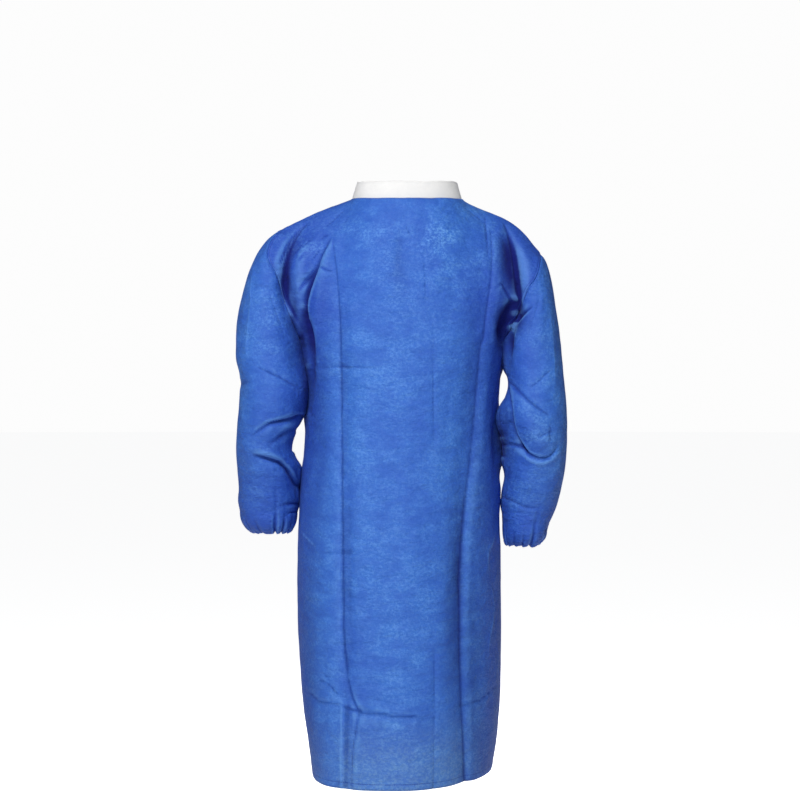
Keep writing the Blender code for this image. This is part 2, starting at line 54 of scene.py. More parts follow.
Socket = bpy.types.NodeSocket

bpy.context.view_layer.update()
LOG = logging.getLogger("lab_coat")

SHELL = 0.0006  # the thickness that the cloth shows
VIEW_DISTANCE = 3.4  # the creases are marked as they look from this far away
VIEW_DROP = 0.374  # and from this far below the origin
FULL_HOLLOW = 0.0009  # a point this far below the evened cloth gets the full painted shade of a crease


# ---- tables of the coat's form


class Level(NamedTuple):
    """One level of the body: its half-widths, its reach behind and in front, and how round it is."""

    drop: float
    left: float
    right: float
    back: float
    front: float
    seam: float
    flare: float
    round_left: float
    round_right: float


class Cut(NamedTuple):
    """One level of a sleeve."""

    drop: float
    outer: float
    inner: float
    middle: float
    depth: float


class SeamPoint(NamedTuple):
    """One point of an armhole's seam, by its turn in degrees round the sleeve from the outer side."""

    turn: float
    drop: float


class Face(Enum):
    """A side of the coat."""

    BEHIND = 1
    FRONT = -1


class PaintedLightPatch(NamedTuple):
    """A patch of painted highlight, or below 0 of painted shade, in millimetres as seen from straight behind or in
    front.
    """

    across: float
    drop: float
    half_width: float
    half_height: float
    strength: float
    face: Face = Face.BEHIND


BODY_LEVELS: tuple[Level, ...] = (
    Level(0.268, 0.187, 0.190, 0.126, -0.138, -0.004, 0.000, 2.25, 2.20),
    Level(0.300, 0.183, 0.186, 0.127, -0.139, -0.016, 0.000, 2.20, 2.10),
    Level(0.330, 0.180, 0.184, 0.128, -0.140, -0.028, 0.001, 2.15, 2.05),
    Level(0.367, 0.1785, 0.1815, 0.129, -0.142, -0.034, 0.002, 2.15, 2.00),
    Level(0.404, 0.1785, 0.1795, 0.130, -0.144, -0.036, 0.002, 2.20, 2.00),
    Level(0.450, 0.1805, 0.1805, 0.132, -0.146, -0.034, 0.002, 2.25, 1.95),
    Level(0.520, 0.1855, 0.183, 0.137, -0.149, -0.030, 0.002, 2.35, 1.90),
    Level(0.580, 0.1895, 0.182, 0.142, -0.151, -0.028, 0.003, 2.40, 1.85),
    Level(0.650, 0.193, 0.184, 0.148, -0.154, -0.026, 0.005, 2.45, 1.80),
    Level(0.750, 0.1925, 0.185, 0.154, -0.158, -0.027, 0.009, 2.55, 1.80),
    Level(0.850, 0.189, 0.185, 0.159, -0.162, -0.029, 0.013, 2.65, 1.75),
    Level(0.940, 0.182, 0.182, 0.163, -0.166, -0.032, 0.016, 2.80, 1.75),
    Level(1.015, 0.171, 0.175, 0.166, -0.169, -0.035, 0.018, 2.95, 1.70),
    Level(1.063, 0.164, 0.167, 0.167, -0.170, -0.037, 0.020, 3.05, 1.70),
)
LEFT_CUTS: tuple[Cut, ...] = tuple(
    Cut(*row)
    for row in (
        (0.057, 0.219, 0.192, 0.000, 0.024), (0.067, 0.235, 0.194, 0.000, 0.036), (0.078, 0.248, 0.196, 0.000, 0.045),
        (0.096, 0.262, 0.198, 0.000, 0.054), (0.122, 0.275, 0.200, 0.000, 0.062), (0.152, 0.286, 0.200, 0.000, 0.067),
        (0.189, 0.296, 0.198, 0.000, 0.071), (0.226, 0.303, 0.194, 0.000, 0.074), (0.268, 0.306, 0.187, 0.001, 0.076),
        (0.300, 0.3055, 0.187, 0.004, 0.077), (0.325, 0.299, 0.183, 0.008, 0.078),
        (0.350, 0.2975, 0.1795, 0.012, 0.079), (0.384, 0.299, 0.182, 0.013, 0.080), (0.420, 0.303, 0.190, 0.009, 0.079),
        (0.455, 0.3055, 0.202, 0.002, 0.076), (0.500, 0.304, 0.191, -0.010, 0.071),
        (0.540, 0.303, 0.193, -0.021, 0.066), (0.565, 0.305, 0.1925, -0.027, 0.063),
        (0.582, 0.302, 0.1945, -0.030, 0.060),
    )
)
RIGHT_CUTS: tuple[Cut, ...] = tuple(
    Cut(*row)
    for row in (
        (0.104, 0.257, 0.202, 0.000, 0.030), (0.115, 0.265, 0.203, 0.000, 0.042), (0.130, 0.271, 0.204, 0.000, 0.052),
        (0.150, 0.276, 0.205, 0.000, 0.061), (0.200, 0.284, 0.204, 0.000, 0.070), (0.240, 0.290, 0.199, 0.000, 0.073),
        (0.268, 0.293, 0.190, 0.001, 0.074), (0.300, 0.296, 0.193, 0.004, 0.076), (0.345, 0.300, 0.196, 0.010, 0.080),
        (0.395, 0.304, 0.186, 0.013, 0.083), (0.430, 0.305, 0.194, 0.009, 0.082), (0.459, 0.305, 0.200, 0.003, 0.079),
        (0.515, 0.301, 0.194, -0.012, 0.072), (0.561, 0.292, 0.190, -0.025, 0.067),
        (0.585, 0.285, 0.189, -0.031, 0.064), (0.604, 0.277, 0.190, -0.034, 0.061),
    )
)
LEFT_ARMHOLE: tuple[SeamPoint, ...] = tuple(
    SeamPoint(*row)
    for row in (
        (0, 0.057), (36, 0.062), (54, 0.074), (72, 0.106), (90, 0.127), (108, 0.144), (126, 0.173), (144, 0.219),
        (162, 0.252), (180, 0.268),
    )
)
RIGHT_ARMHOLE: tuple[SeamPoint, ...] = tuple(
    SeamPoint(*row)
    for row in (
        (0, 0.104), (36, 0.110), (62, 0.127), (76, 0.142), (90, 0.157), (108, 0.171), (135, 0.206), (158, 0.243),
        (180, 0.268),
    )
)
# patches of painted highlight where the strength is above 0, and of painted shade where it is below 0
PAINTED_LIGHT_PATCHES: tuple[PaintedLightPatch, ...] = tuple(
    PaintedLightPatch(*row)
    for row in (
        (200, 74, 22, 20, 0.9), (186, 92, 30, 16, 0.6), (-58, 92, 30, 40, 0.8), (-70, 70, 44, 22, 0.9),
        (26, 130, 26, 40, 0.6), (60, 60, 70, 26, 0.6), (-100, 130, 40, 50, 0.5), (-93, 780, 14, 160, -0.30),
        (-130, 880, 18, 220, -0.28), (-134, 420, 16, 160, -0.22), (170, 860, 14, 220, -0.25),
        (150, 420, 16, 180, -0.22), (4, 130, 12, 50, -0.18), (-30, 190, 60, 50, 0.3), (-166, 62, 12, 20, 0.7),
        (246, 245, 20, 40, 0.7), (258, 472, 24, 22, 0.7), (262, 540, 20, 30, 0.3), (-266, 270, 26, 40, 0.6),
        (-252, 440, 24, 26, 0.8), (0, 1030, 110, 50, 0.5), (120, 880, 24, 60, 0.3), (30, 330, 70, 90, 0.2),
        (70, 90, 50, 40, 0.6, Face.FRONT), (-84, 110, 40, 46, 0.5, Face.FRONT), (76, 420, 60, 90, 0.3, Face.FRONT),
        (-90, 640, 50, 110, 0.3, Face.FRONT), (0, 1030, 120, 50, 0.5, Face.FRONT), (199, 214, 8, 34, -0.9),
        (184, 262, 8, 40, -0.9), (176, 345, 8, 60, -0.7), (-202, 222, 22, 26, -1.4), (-192, 124, 15, 46, -0.5),
        (156, 86, 24, 22, 0.8), (-190, 262, 12, 34, -0.8), (-192, 450, 9, 50, -0.6),
        (-186, 455, 12, 50, -1.6, Face.FRONT), (-184, 290, 14, 50, -1.6, Face.FRONT),
        (184, 330, 14, 80, -1.4, Face.FRONT), (190, 535, 12, 40, -1.0, Face.FRONT),
        (246, 250, 24, 40, 0.6, Face.FRONT), (-252, 300, 24, 50, 0.6, Face.FRONT),
    )
)


# ---- creases


class Profile(Enum):
    """The section of a crease."""

    SOFT = "a round trough or ridge"
    PINCH = "a sharp one, as pressed in by packing"
    PLEAT = "a trough with one steep side, on the right of its path"


SOFT, PINCH, PLEAT = Profile


@dataclass(frozen=True)
class Crease:
    """A crease of the cloth.

    Its knots are (across, drop, half-width, height) in millimetres, as marked from straight behind or in front. A
    height above 0 is a ridge.
    """

    profile: Profile
    knots: tuple[Knot, ...]
    face: Face = Face.BEHIND

    def line(self, per_span: int = 6) -> Array:
        """The crease's line in metres, rounded at its knots.

        Args:
            per_span: How many straight pieces stand for the way from one knot to the next.

        Returns:
            One row a point: across, drop, half-width and height.
        """
        knots = np.array(self.knots, float) / 1000
        ends = np.vstack([2 * knots[0] - knots[1], knots, 2 * knots[-1] - knots[-2]])
        t = np.linspace(0, 1, per_span, endpoint=False)[:, None]
        points = []
        for a, b, c, d in zip(ends, ends[1:], ends[2:], ends[3:]):
            curve = b + 0.5 * t * (c - a) + t**2 * (a - 2.5 * b + 2 * c - 0.5 * d)
            points.append(curve + t**3 * (1.5 * b - 0.5 * a - 1.5 * c + 0.5 * d))
        return np.vstack([*points, knots[-1:]])

    def height_at(self, across: Array, drop: Array) -> Array:
        """How far the crease moves the cloth out.

        Args:
            across: Where each point of the cloth is seen, side to side, in metres.
            drop: The same, downwards.

        Returns:
            The height at each point, in metres.
        """
        line = self.line()
        total = np.zeros(across.shape)
        reach = 4 * line[:, 2].max()
        low, high = line[:, :2].min(axis=0) - reach, line[:, :2].max(axis=0) + reach
        near = (across > low[0]) & (across < high[0]) & (drop > low[1]) & (drop < high[1])
        if not near.any():
            return total
        x, z = across[near][:, None], drop[near][:, None]
        start, step = line[:-1], np.diff(line, axis=0)
        length = np.maximum((step[:, :2] ** 2).sum(axis=1), 1e-12)
        t = np.clip(((x - start[:, 0]) * step[:, 0] + (z - start[:, 1]) * step[:, 1]) / length, 0, 1)
        dx, dz = x - start[:, 0] - t * step[:, 0], z - start[:, 1] - t * step[:, 1]
        nearest = (dx**2 + dz**2).argmin(axis=1)
        row = np.arange(len(nearest))
        width = np.maximum(start[nearest, 2] + t[row, nearest] * step[nearest, 2], 1e-4)
        height = start[nearest, 3] + t[row, nearest] * step[nearest, 3]
        away = np.hypot(dx, dz)[row, nearest] / width
        side = step[nearest, 0] * dz[row, nearest] - step[nearest, 1] * dx[row, nearest]
        if self.profile is Profile.SOFT:
            shape = np.exp(-(away**2))
        elif self.profile is Profile.PINCH:
            shape = np.exp(-1.5 * away) * (1 - past(away, 2, 2))
        else:
            shape = np.where(side > 0, np.exp(-((away / 0.45) ** 2)), np.exp(-(np.abs(away) ** 1.2)))
        total[near] = height * shape
        return total


def marked(face: Face, *rows: tuple) -> tuple[Crease, ...]:
    """The creases that are marked from one side, each row a profile and then its knots."""
    return tuple(Crease(row[0], row[1:], face) for row in rows)


BACK_CREASES: tuple[Crease, ...] = marked(
    Face.BEHIND,
    # the underarms' pockets and the shaded hollows below them
    (SOFT, (184.3, 199.9, 7.4, 0), (181.5, 225.9, 8.3, -10), (178.7, 255.5, 8.3, -12), (176.9, 281.4, 7.4, -7),
     (175, 311, 7.4, 0)),
    (SOFT, (-215.7, 188.8, 9.3, 0), (-206.5, 203.6, 12, -11), (-197.2, 222.1, 13, -13), (-189.8, 244.4, 11.1, -10),
     (-186.1, 266.6, 9.3, -5), (-184.3, 288.8, 7.4, 0)),
    (SOFT, (173.1, 222.1, 7.4, 0), (170.4, 251.8, 7.8, -7), (168.5, 292.5, 7.8, -8), (168.5, 337, 7.4, -7),
     (171.3, 374, 6.7, -4), (173.1, 403.6, 6.3, 0)),
    (SOFT, (-171.3, 359.2, 6.5, 0), (-173.1, 401.8, 7, -5), (-174.1, 448.1, 7.4, -7), (-175, 494.4, 7, -5),
     (-176.9, 533.3, 6.3, 0)),
    # the deep fold from the left shoulder and its twin
    (PINCH, (167.6, 42.5, 3.3, 0), (182.4, 51.8, 3.7, -2.8), (197.2, 70.3, 4.1, -4.3), (208.3, 92.5, 4.8, -5.6),
     (214.8, 118.4, 6.3, -9.2), (217.6, 148.1, 8.5, -14), (214.8, 172.1, 9.3, -14), (208.3, 196.2, 9.3, -9.2),
     (197.2, 222.1, 9.3, -4.7), (186.1, 248.1, 7.4, 0)),
    (PINCH, (171.3, 44.4, 3.7, 0), (191.7, 57.3, 3.7, -2.8), (210.2, 81.4, 3.7, -3.8), (221.3, 107.3, 3.7, -2.8),
     (226.9, 129.6, 3.7, 0)),
    # crinkles on the left shoulder
    (PINCH, (154.6, 79.6, 3.3, 0), (141.7, 70.3, 3.7, -2.4), (126.9, 66.6, 3.3, 0)),
    (PINCH, (191.7, 120.3, 3.3, 0), (182.4, 107.3, 3.7, -2.1), (169.4, 94.4, 3.3, 0)),
    (PINCH, (184.3, 92.5, 3.3, 0), (173.1, 79.6, 3.7, -2.2), (158.3, 68.4, 3.3, 0)),
    (PINCH, (199.1, 101.8, 3.3, 0), (188, 87, 3.7, -1.9), (178.7, 75.9, 3.3, 0)),
    (PINCH, (169.4, 120.3, 3.3, 0), (158.3, 103.6, 3.7, -2.1), (145.4, 88.8, 3.3, 0)),
    # the fold into the left underarm, with the creases and the full cloth beside it
    (PINCH, (156.5, 125.9, 3.7, 0), (169.4, 142.5, 4.4, -3.8), (180.6, 157.3, 4.4, -4.2), (191.7, 174, 3.7, 0)),
    (SOFT, (165.7, 70.3, 14.8, 0), (180.6, 99.9, 14.8, 3), (189.8, 137, 14.8, 4.5), (191.7, 174, 14.8, 3),
     (188, 211, 11.1, 0)),
    (PLEAT, (126.9, 62.9, 7.4, 0), (136.1, 83.3, 8.5, -4.3), (149.1, 107.3, 9.3, -7.4), (158.3, 131.4, 9.3, -11.1),
     (167.6, 153.6, 9.3, -14), (175, 174, 9.3, -15), (179.6, 194.4, 9.3, -13.1), (180.6, 216.6, 9.3, -9.2),
     (178.7, 240.7, 9.3, -5.6), (173.1, 266.6, 8.3, -2.8), (167.6, 296.2, 7.4, 0)),
    (PINCH, (158.3, 125.9, 3.7, 0), (147.2, 129.6, 3.7, -2.4), (134.3, 135.1, 3.7, -2.4), (123.1, 133.3, 3.7, 0)),
    (SOFT, (125, 96.2, 14.8, 0), (136.1, 129.6, 13, 2), (149.1, 166.6, 13, 3.5), (158.3, 207.3, 11.1, 3),
     (162, 281.4, 11.1, 0)),
    # the left long crease and the hollow on its right
    (PINCH, (125, 48.1, 3.9, 0), (125, 87, 4.4, -2), (119.4, 151.8, 4.4, -2.4), (115.7, 225.9, 4.4, -2.5),
     (113.9, 374, 4.4, -2.4), (112, 559.2, 4.4, -2.7), (110.2, 744.4, 4.4, -2.9), (108.3, 818.4, 4.4, -2.8),
     (104.6, 859.2, 4.4, -2.1), (97.2, 903.6, 4.4, 0)),
    (SOFT, (112, 77.7, 9.3, 0), (104.6, 188.8, 9.3, -0.5), (100.9, 374, 9.3, -0.5), (97.2, 559.2, 9.3, -0.7),
     (95.4, 744.4, 9.3, -0.9), (91.7, 837, 9.3, -0.6), (84.3, 911, 9.3, 0)),
    # the left crease above the hem and the hollow beside it
    (PINCH, (110.2, 925.9, 5.6, 0), (112, 951.8, 5.9, 3), (113, 1012.9, 5.9, 3.4), (113.9, 1114.7, 5.9, 3.2)),
    (SOFT, (102.8, 929.6, 9.3, 0), (100.9, 957.3, 9.3, -1), (100.9, 1022.1, 9.3, -1.3), (102.8, 1114.7, 9.3, -1.2)),
    # the crease that turns in to the long one, and the upright one below it
    (PLEAT, (102.8, 881.4, 3.9, 0), (95.4, 911, 4.3, -1.9), (89.8, 929.6, 4.4, -2.4), (78.7, 949.9, 4.4, -2.8),
     (69.4, 959.2, 4.1, 0)),
    (PINCH, (78.7, 949.9, 4.4, -1.9), (82.4, 970.3, 4.6, -2.8), (89.8, 1012.9, 4.6, -2.6), (93.5, 1059.2, 4.6, -2.2),
     (93.5, 1114.7, 4.6, -2)),
    # the long level crease, the full cloth below it and its end on the right
    (PLEAT, (182.4, 907.3, 4.1, 0), (167.6, 918.4, 4.1, -1.5), (149.1, 933.3, 4.1, -1.9), (113.9, 938.8, 4.1, -1.6),
     (82.4, 949.9, 4.4, -2.6), (39.8, 955.5, 4.3, -2.5), (-6.5, 959.2, 4.1, -2.1), (-43.5, 961, 3.9, -1.3),
     (-84.3, 959.2, 3.7, 0)),
    (SOFT, (91.7, 970.3, 11.1, 0), (58.3, 974, 11.1, 1.4), (2.8, 979.6, 11.1, 1.2), (-52.8, 977.7, 11.1, 0)),
    (PINCH, (-100.9, 942.5, 3.7, 0), (-117.6, 938.8, 3.7, -1.7), (-145.4, 929.6, 3.7, -2.1), (-163.9, 914.7, 3.7, -1.7),
     (-182.4, 901.8, 3.7, 0)),
    # a crease at the right neck corner
    (PINCH, (-152.8, 24, 3.7, 0), (-156.5, 49.9, 3.7, -2.4), (-160.2, 96.2, 3.7, -2.4), (-162, 122.1, 3.7, 0)),
    # the right long crease, with the ridge and the hollow beside it
    (PINCH, (-163.9, 48.1, 4.1, 0), (-166.7, 77.7, 4.3, -2.2), (-167.6, 118.4, 4.4, -2.6), (-165.7, 151.8, 4.4, -2.7),
     (-160.2, 198.1, 4.6, -2.9), (-154.6, 253.6, 4.6, -2.9), (-147.2, 285.1, 4.6, -2.9), (-139.8, 364.7, 4.6, -2.9),
     (-130.6, 466.6, 4.8, -2.9), (-121.3, 559.2, 4.8, -3.2), (-113.9, 670.3, 4.8, -3.4), (-112, 744.4, 4.8, -3.4),
     (-113.9, 911, 4.8, -3.1), (-119.4, 1022.1, 4.8, -3.3), (-123.1, 1114.7, 4.8, -3.2)),
    (SOFT, (-182.4, 133.3, 7.4, 0), (-175, 198.1, 7.4, 1.1), (-163.9, 281.4, 7.4, 1.4), (-150.9, 374, 7.4, 1.6),
     (-141.7, 466.6, 7.4, 1.6), (-132.4, 559.2, 7.4, 1.8), (-125, 670.3, 7.8, 2), (-123.1, 818.4, 7.8, 1.7),
     (-126.9, 966.6, 7.8, 2), (-134.3, 1114.7, 7.8, 2)),
    (SOFT, (-123.1, 503.6, 16.7, 0), (-110.2, 605.5, 16.7, -2.6), (-104.6, 707.3, 16.7, -3.2),
     (-104.6, 818.4, 16.7, -1.8), (-106.5, 929.6, 16.7, 0)),
    # the deep fold from the right shoulder, with the ridge outside it and the hollow inside it
    (PINCH, (-188, 42.5, 4.6, 0), (-197.2, 59.2, 5.6, -4.7), (-204.6, 74, 6.5, -8.3), (-212, 94.4, 7.4, -11.1),
     (-215.7, 122.1, 8.3, -13.1), (-217.6, 159.2, 8.3, -14), (-217.6, 188.8, 8.3, -12.1), (-213.9, 214.7, 7.4, -6.5),
     (-208.3, 240.7, 7.4, 0)),
    (SOFT, (-217.6, 70.3, 9.3, 0), (-230.6, 107.3, 9.3, 0.9), (-234.3, 148.1, 9.3, 1.3), (-232.4, 185.1, 9.3, 1.1),
     (-226.9, 218.4, 9.3, 0)),
    (SOFT, (-191.7, 62.9, 9.3, 0), (-195.4, 88.8, 13, -4), (-197.2, 122.1, 14.8, -6.5), (-197.2, 151.8, 13, -6),
     (-195.4, 175.9, 11.1, -3), (-195.4, 194.4, 9.3, 0)),
    # the short fold and the pocket at the right underarm
    (PINCH, (-169.4, 168.4, 3.7, 0), (-186.1, 159.2, 4.1, -2.6), (-193.5, 170.3, 4.1, -3), (-200.9, 183.3, 4.1, -2.6),
     (-208.3, 196.2, 3.7, 0)),
    (PLEAT, (-245.4, 198.1, 4.1, 0), (-230.6, 209.2, 4.8, -4.7), (-217.6, 220.3, 5.9, -7.4), (-204.6, 231.4, 9.3, -9.2),
     (-193.5, 246.2, 9.3, -8.3), (-186.1, 270.3, 6.5, 0)),
    # short creases below the collar, and the hollow between the shoulder blades
    (PINCH, (-6.5, 46.2, 3.3, 0), (-12, 61, 3.5, -2), (-19.4, 77.7, 3.3, 0)),
    (PINCH, (-39.8, 99.9, 3.7, 0), (-41.7, 129.6, 3.7, -1.3), (-43.5, 174, 3.7, -1.3), (-43.5, 207.3, 3.7, 0)),
    (SOFT, (6.5, 44.4, 13, 0), (0.9, 81.4, 14.8, -2.2), (6.5, 118.4, 14.8, -1.8), (13.9, 170.3, 14.8, -1),
     (10.2, 225.9, 14.8, 0)),
    # the packing creases: the middle one in two lengths, and the two level ones
    (PINCH, (-56.5, 211, 3.7, 0), (-58.3, 281.4, 3.7, -1.3), (-59.3, 429.6, 3.7, -1.3), (-60.2, 537, 3.7, 0)),
    (PINCH, (-58.3, 796.2, 3.7, 0), (-60.2, 864.7, 3.7, -1.3), (-60.2, 966.6, 3.7, -1.6), (-58.3, 1114.7, 3.7, -1.3)),
    (PINCH, (176.9, 307.3, 3.3, 0), (150.9, 311, 3.5, -1.6), (104.6, 312.9, 3.5, -1.7), (58.3, 313.8, 3.5, -1.5),
     (13.9, 314.7, 3.3, 0)),
    (PINCH, (156.5, 653.6, 3.3, 0), (132.4, 655.5, 3.5, -1.6), (91.7, 655.5, 3.5, -1.6), (62, 657.3, 3.3, 0)),
    # a bent crease at the right side and a short one at the left side
    (PINCH, (-180.6, 599.9, 3.3, 0), (-169.4, 633.3, 3.5, 1.7), (-158.3, 662.9, 3.5, 2), (-162, 701.8, 3.5, 0.9),
     (-171.3, 751.8, 3.5, 1.7), (-163.9, 809.2, 3.5, 2), (-158.3, 862.9, 3.3, 0)),
    (PINCH, (188, 612.9, 3.3, 0), (173.1, 631.4, 3.5, 2), (152.8, 651.8, 3.3, 0)),
    # wrinkles above the level crease
    (PINCH, (163.9, 899.9, 3.3, 0), (147.2, 894.4, 3.5, -1.9), (132.4, 903.6, 3.5, -2.2), (121.3, 916.6, 3.5, -1.9),
     (110.2, 924, 3.3, 0)),
    (PINCH, (154.6, 877.7, 3.3, 0), (139.8, 885.1, 3.5, -1.5), (126.9, 899.9, 3.3, 0)),
    # drags at the neck corners
    (PINCH, (97.2, 11, 3.7, 0), (112, 27.7, 3.9, -1.9), (130.6, 44.4, 3.9, -2), (149.1, 61, 3.7, 0)),
    (PINCH, (88, 24, 3.7, 0), (102.8, 40.7, 3.7, -1.5), (115.7, 62.9, 3.7, 0)),
    (PINCH, (-110.2, 14.7, 3.7, 0), (-128.7, 27.7, 3.7, -1.7), (-147.2, 40.7, 3.7, -1.7), (-162, 57.3, 3.7, 0)),
    # slack waves across the blades, below the waist, above the hips and above the knees
    (SOFT, (104.6, 99.9, 13, 0), (73.1, 118.4, 14.8, 1.1), (39.8, 151.8, 14.8, 0.8), (17.6, 188.8, 14.8, 0)),
    (SOFT, (-126.9, 77.7, 14.8, 0), (-93.5, 107.3, 14.8, 1.2), (-63.9, 144.4, 14.8, 0.9), (-49.1, 188.8, 14.8, 0)),
    (SOFT, (91.7, 433.3, 16.7, 0), (43.5, 462.9, 18.5, 1.2), (-19.4, 475.9, 18.5, 1), (-86.1, 448.1, 16.7, 0)),
    (SOFT, (76.9, 698.1, 18.5, 0), (25, 670.3, 18.5, 1.3), (-34.3, 681.4, 18.5, 1.1), (-89.8, 725.9, 16.7, 0)),
    (SOFT, (54.6, 846.2, 18.5, 0), (6.5, 818.4, 20.4, -1.2), (-41.7, 837, 18.5, -0.9), (-78.7, 874, 16.7, 0)),
)
LEFT_SLEEVE_CREASES: tuple[Crease, ...] = marked(
    Face.BEHIND,
    # the full cloth against the side
    (SOFT, (182.4, 251.8, 7.4, 0), (182.4, 281.4, 9.3, 4), (182.4, 322.1, 10.2, 5), (182.4, 359.2, 9.3, 4),
     (184.3, 392.5, 7.4, 0)),
    # the creases above, at and under the elbow
    (PINCH, (271.3, 309.2, 3.7, 0), (258.3, 316.6, 4.1, -2.4), (225, 331.4, 4.4, -3.6), (202.8, 344.4, 4.1, -3),
     (186.1, 353.6, 3.7, 0)),
    (PLEAT, (280.6, 440.7, 4.6, 0), (260.2, 427.7, 5.6, -4.3), (243.5, 418.4, 6.1, -6), (225, 414.7, 6.5, -6.9),
     (206.5, 410.1, 6.5, -6.9), (184.3, 401.8, 5.9, -5.6)),
    (SOFT, (250.9, 461, 5.6, 0), (230.6, 448.1, 5.6, -2.6), (210.2, 435.1, 5.6, -3.5), (189.8, 425.9, 5.6, -2.4)),
    # the ridge below the elbow and the main crease of the forearm
    (SOFT, (284.3, 464.7, 7.4, 0), (265.7, 466.6, 8.5, 3.2), (247.2, 472.1, 8.5, 4.4), (228.7, 479.6, 7.8, 2.6),
     (212, 487, 7.4, 0)),
    (PLEAT, (278.7, 475.9, 5.6, 0), (262, 479.6, 6.7, -5.2), (234.3, 487, 7.6, -8.3), (219.4, 494.4, 7.8, -9.2),
     (206.5, 507.3, 7.8, -9.2), (195.4, 527.7, 7.6, -7.8), (184.3, 548.1, 6.7, -4.7)),
    # the creases above the gathers
    (PINCH, (236.1, 575.9, 3.7, 0), (219.4, 568.4, 4.3, -3), (202.8, 566.6, 4.6, -4), (186.1, 564.7, 4.6, -3.8)),
    (PINCH, (217.6, 590.7, 3.7, 0), (204.6, 583.3, 3.7, -2.6), (188, 581.4, 3.7, -2.1)),
    # the outer packing crease and the notch at the outer elbow
    (PINCH, (271.3, 114.7, 3.7, 0), (276.9, 151.8, 3.9, 1.5), (280.6, 198.1, 3.9, 1.7), (286.1, 253.6, 3.9, 1.7),
     (291.7, 303.6, 3.7, 0)),
    (SOFT, (313.9, 346.2, 7.4, -4), (295.4, 342.5, 7.4, -3), (273.1, 337, 5.6, 0)),
    # slack waves on the upper arm and the forearm
    (SOFT, (258.3, 229.6, 14.8, 0), (239.8, 262.9, 16.7, 1.2), (217.6, 285.1, 14.8, 0.8), (199.1, 299.9, 13, 0)),
    (SOFT, (288, 522.1, 13, 0), (265.7, 544.4, 14.8, 1.4), (243.5, 555.5, 14.8, 1), (225, 555.5, 13, 0)),
    # a drag from the armhole
    (PINCH, (247.2, 166.6, 3.7, 0), (238, 196.2, 3.7, -1.5), (225, 229.6, 3.7, -1.5), (213.9, 262.9, 3.7, 0)),
)
RIGHT_SLEEVE_CREASES: tuple[Crease, ...] = marked(
    Face.BEHIND,
    # the shaded hollow below the underarm and the fold behind it
    (SOFT, (-200.9, 222.1, 7.4, 0), (-197.2, 248.1, 9.3, -8), (-195.4, 274, 9.3, -11), (-193.5, 296.2, 8.1, -8),
     (-191.7, 322.1, 7.4, 0)),
    (PLEAT, (-195.4, 337, 4.6, 0), (-199.1, 370.3, 5.6, -6.5), (-202.8, 401.8, 6.3, -9.2), (-208.3, 433.3, 6.3, -9.2),
     (-221.3, 459.2, 5.9, -6.5), (-236.1, 474, 5.6, 0)),
    # the outer drag above the cuff
    (PINCH, (-293.5, 570.3, 3.7, 0), (-282.4, 596.2, 4.8, -7.4), (-269.4, 622.1, 5.6, -8.3),
     (-258.3, 644.4, 5.6, -5.6)),
    # the crease above the elbow
    (PINCH, (-191.7, 335.1, 3.7, 0), (-204.6, 346.2, 4.6, -3.6), (-219.4, 361, 5, -4.5), (-238, 377.7, 5, -4.5),
     (-256.5, 390.7, 4.6, -3.4), (-276.9, 405.5, 3.7, 0)),
    # the pouch at the elbow: its rim, its turned edge and its full cloth
    (PLEAT, (-199.1, 392.5, 5.6, 0), (-202.8, 411, 6.5, -5.6), (-208.3, 433.3, 7.4, -7.8), (-217.6, 453.6, 7.4, -8.3),
     (-228.7, 470.3, 6.7, -6.9), (-243.5, 478.6, 5.9, -5.3), (-258.3, 482.3, 5.6, -4.2), (-273.1, 479.6, 5.2, -3.2),
     (-286.1, 464.7, 4.8, -1.9), (-293.5, 448.1, 4.8, 0)),
    (SOFT, (-217.6, 464.7, 4.1, 0), (-230.6, 479.6, 4.4, 2), (-245.4, 487.9, 4.8, 3), (-260.2, 490.7, 4.8, 3),
     (-275, 486, 4.6, 2.4), (-288, 472.1, 4.4, 1.4), (-295.4, 455.5, 4.1, 0)),
    (SOFT, (-217.6, 377.7, 16.7, 1), (-234.3, 414.7, 20.4, 5), (-256.5, 444.4, 20.4, 6), (-273.1, 455.5, 16.7, 3),
     (-286.1, 448.1, 13, 0)),
    # short creases in it and above it, and the one from it to the body
    (PINCH, (-245.4, 444.4, 3.7, 0), (-262, 437, 3.9, -2.5), (-288, 429.6, 3.7, 0)),
    (PINCH, (-234.3, 351.8, 3.7, 0), (-247.2, 344.4, 3.9, -2.5), (-267.6, 325.9, 3.9, -2.5), (-280.6, 314.7, 3.7, 0)),
    (PINCH, (-191.7, 453.6, 4.8, -3.8), (-204.6, 457.3, 4.8, -4.9), (-221.3, 464.7, 4.8, -3.2),
     (-234.3, 472.1, 3.7, 0)),
    # the crease of the forearm
    (PINCH, (-188, 553.6, 3.7, -2.4), (-204.6, 561, 4.3, -3), (-223.1, 570.3, 4.3, -3), (-241.7, 574, 4.3, -2.6),
     (-265.7, 574, 3.7, 0)),
    # a drag from the armhole
    (PINCH, (-258.3, 170.3, 3.7, 0), (-250.9, 199.9, 3.7, -1.5), (-239.8, 233.3, 3.7, -1.5), (-230.6, 272.1, 3.7, 0)),
    # slack waves on the upper arm and the forearm
    (SOFT, (-271.3, 222.1, 14.8, 0), (-256.5, 255.5, 16.7, 1.2), (-238, 281.4, 14.8, 0.9), (-223.1, 303.6, 13, 0)),
    (SOFT, (-208.3, 511, 13, 0), (-230.6, 525.9, 14.8, 1.4), (-256.5, 533.3, 14.8, 1), (-278.7, 522.1, 13, 0)),
    # the outer packing crease
    (PINCH, (-273.1, 188.8, 3.7, 0), (-278.7, 244.4, 3.9, 1.5), (-282.4, 303.6, 3.9, 1.6), (-284.3, 359.2, 3.7, 0)),
)
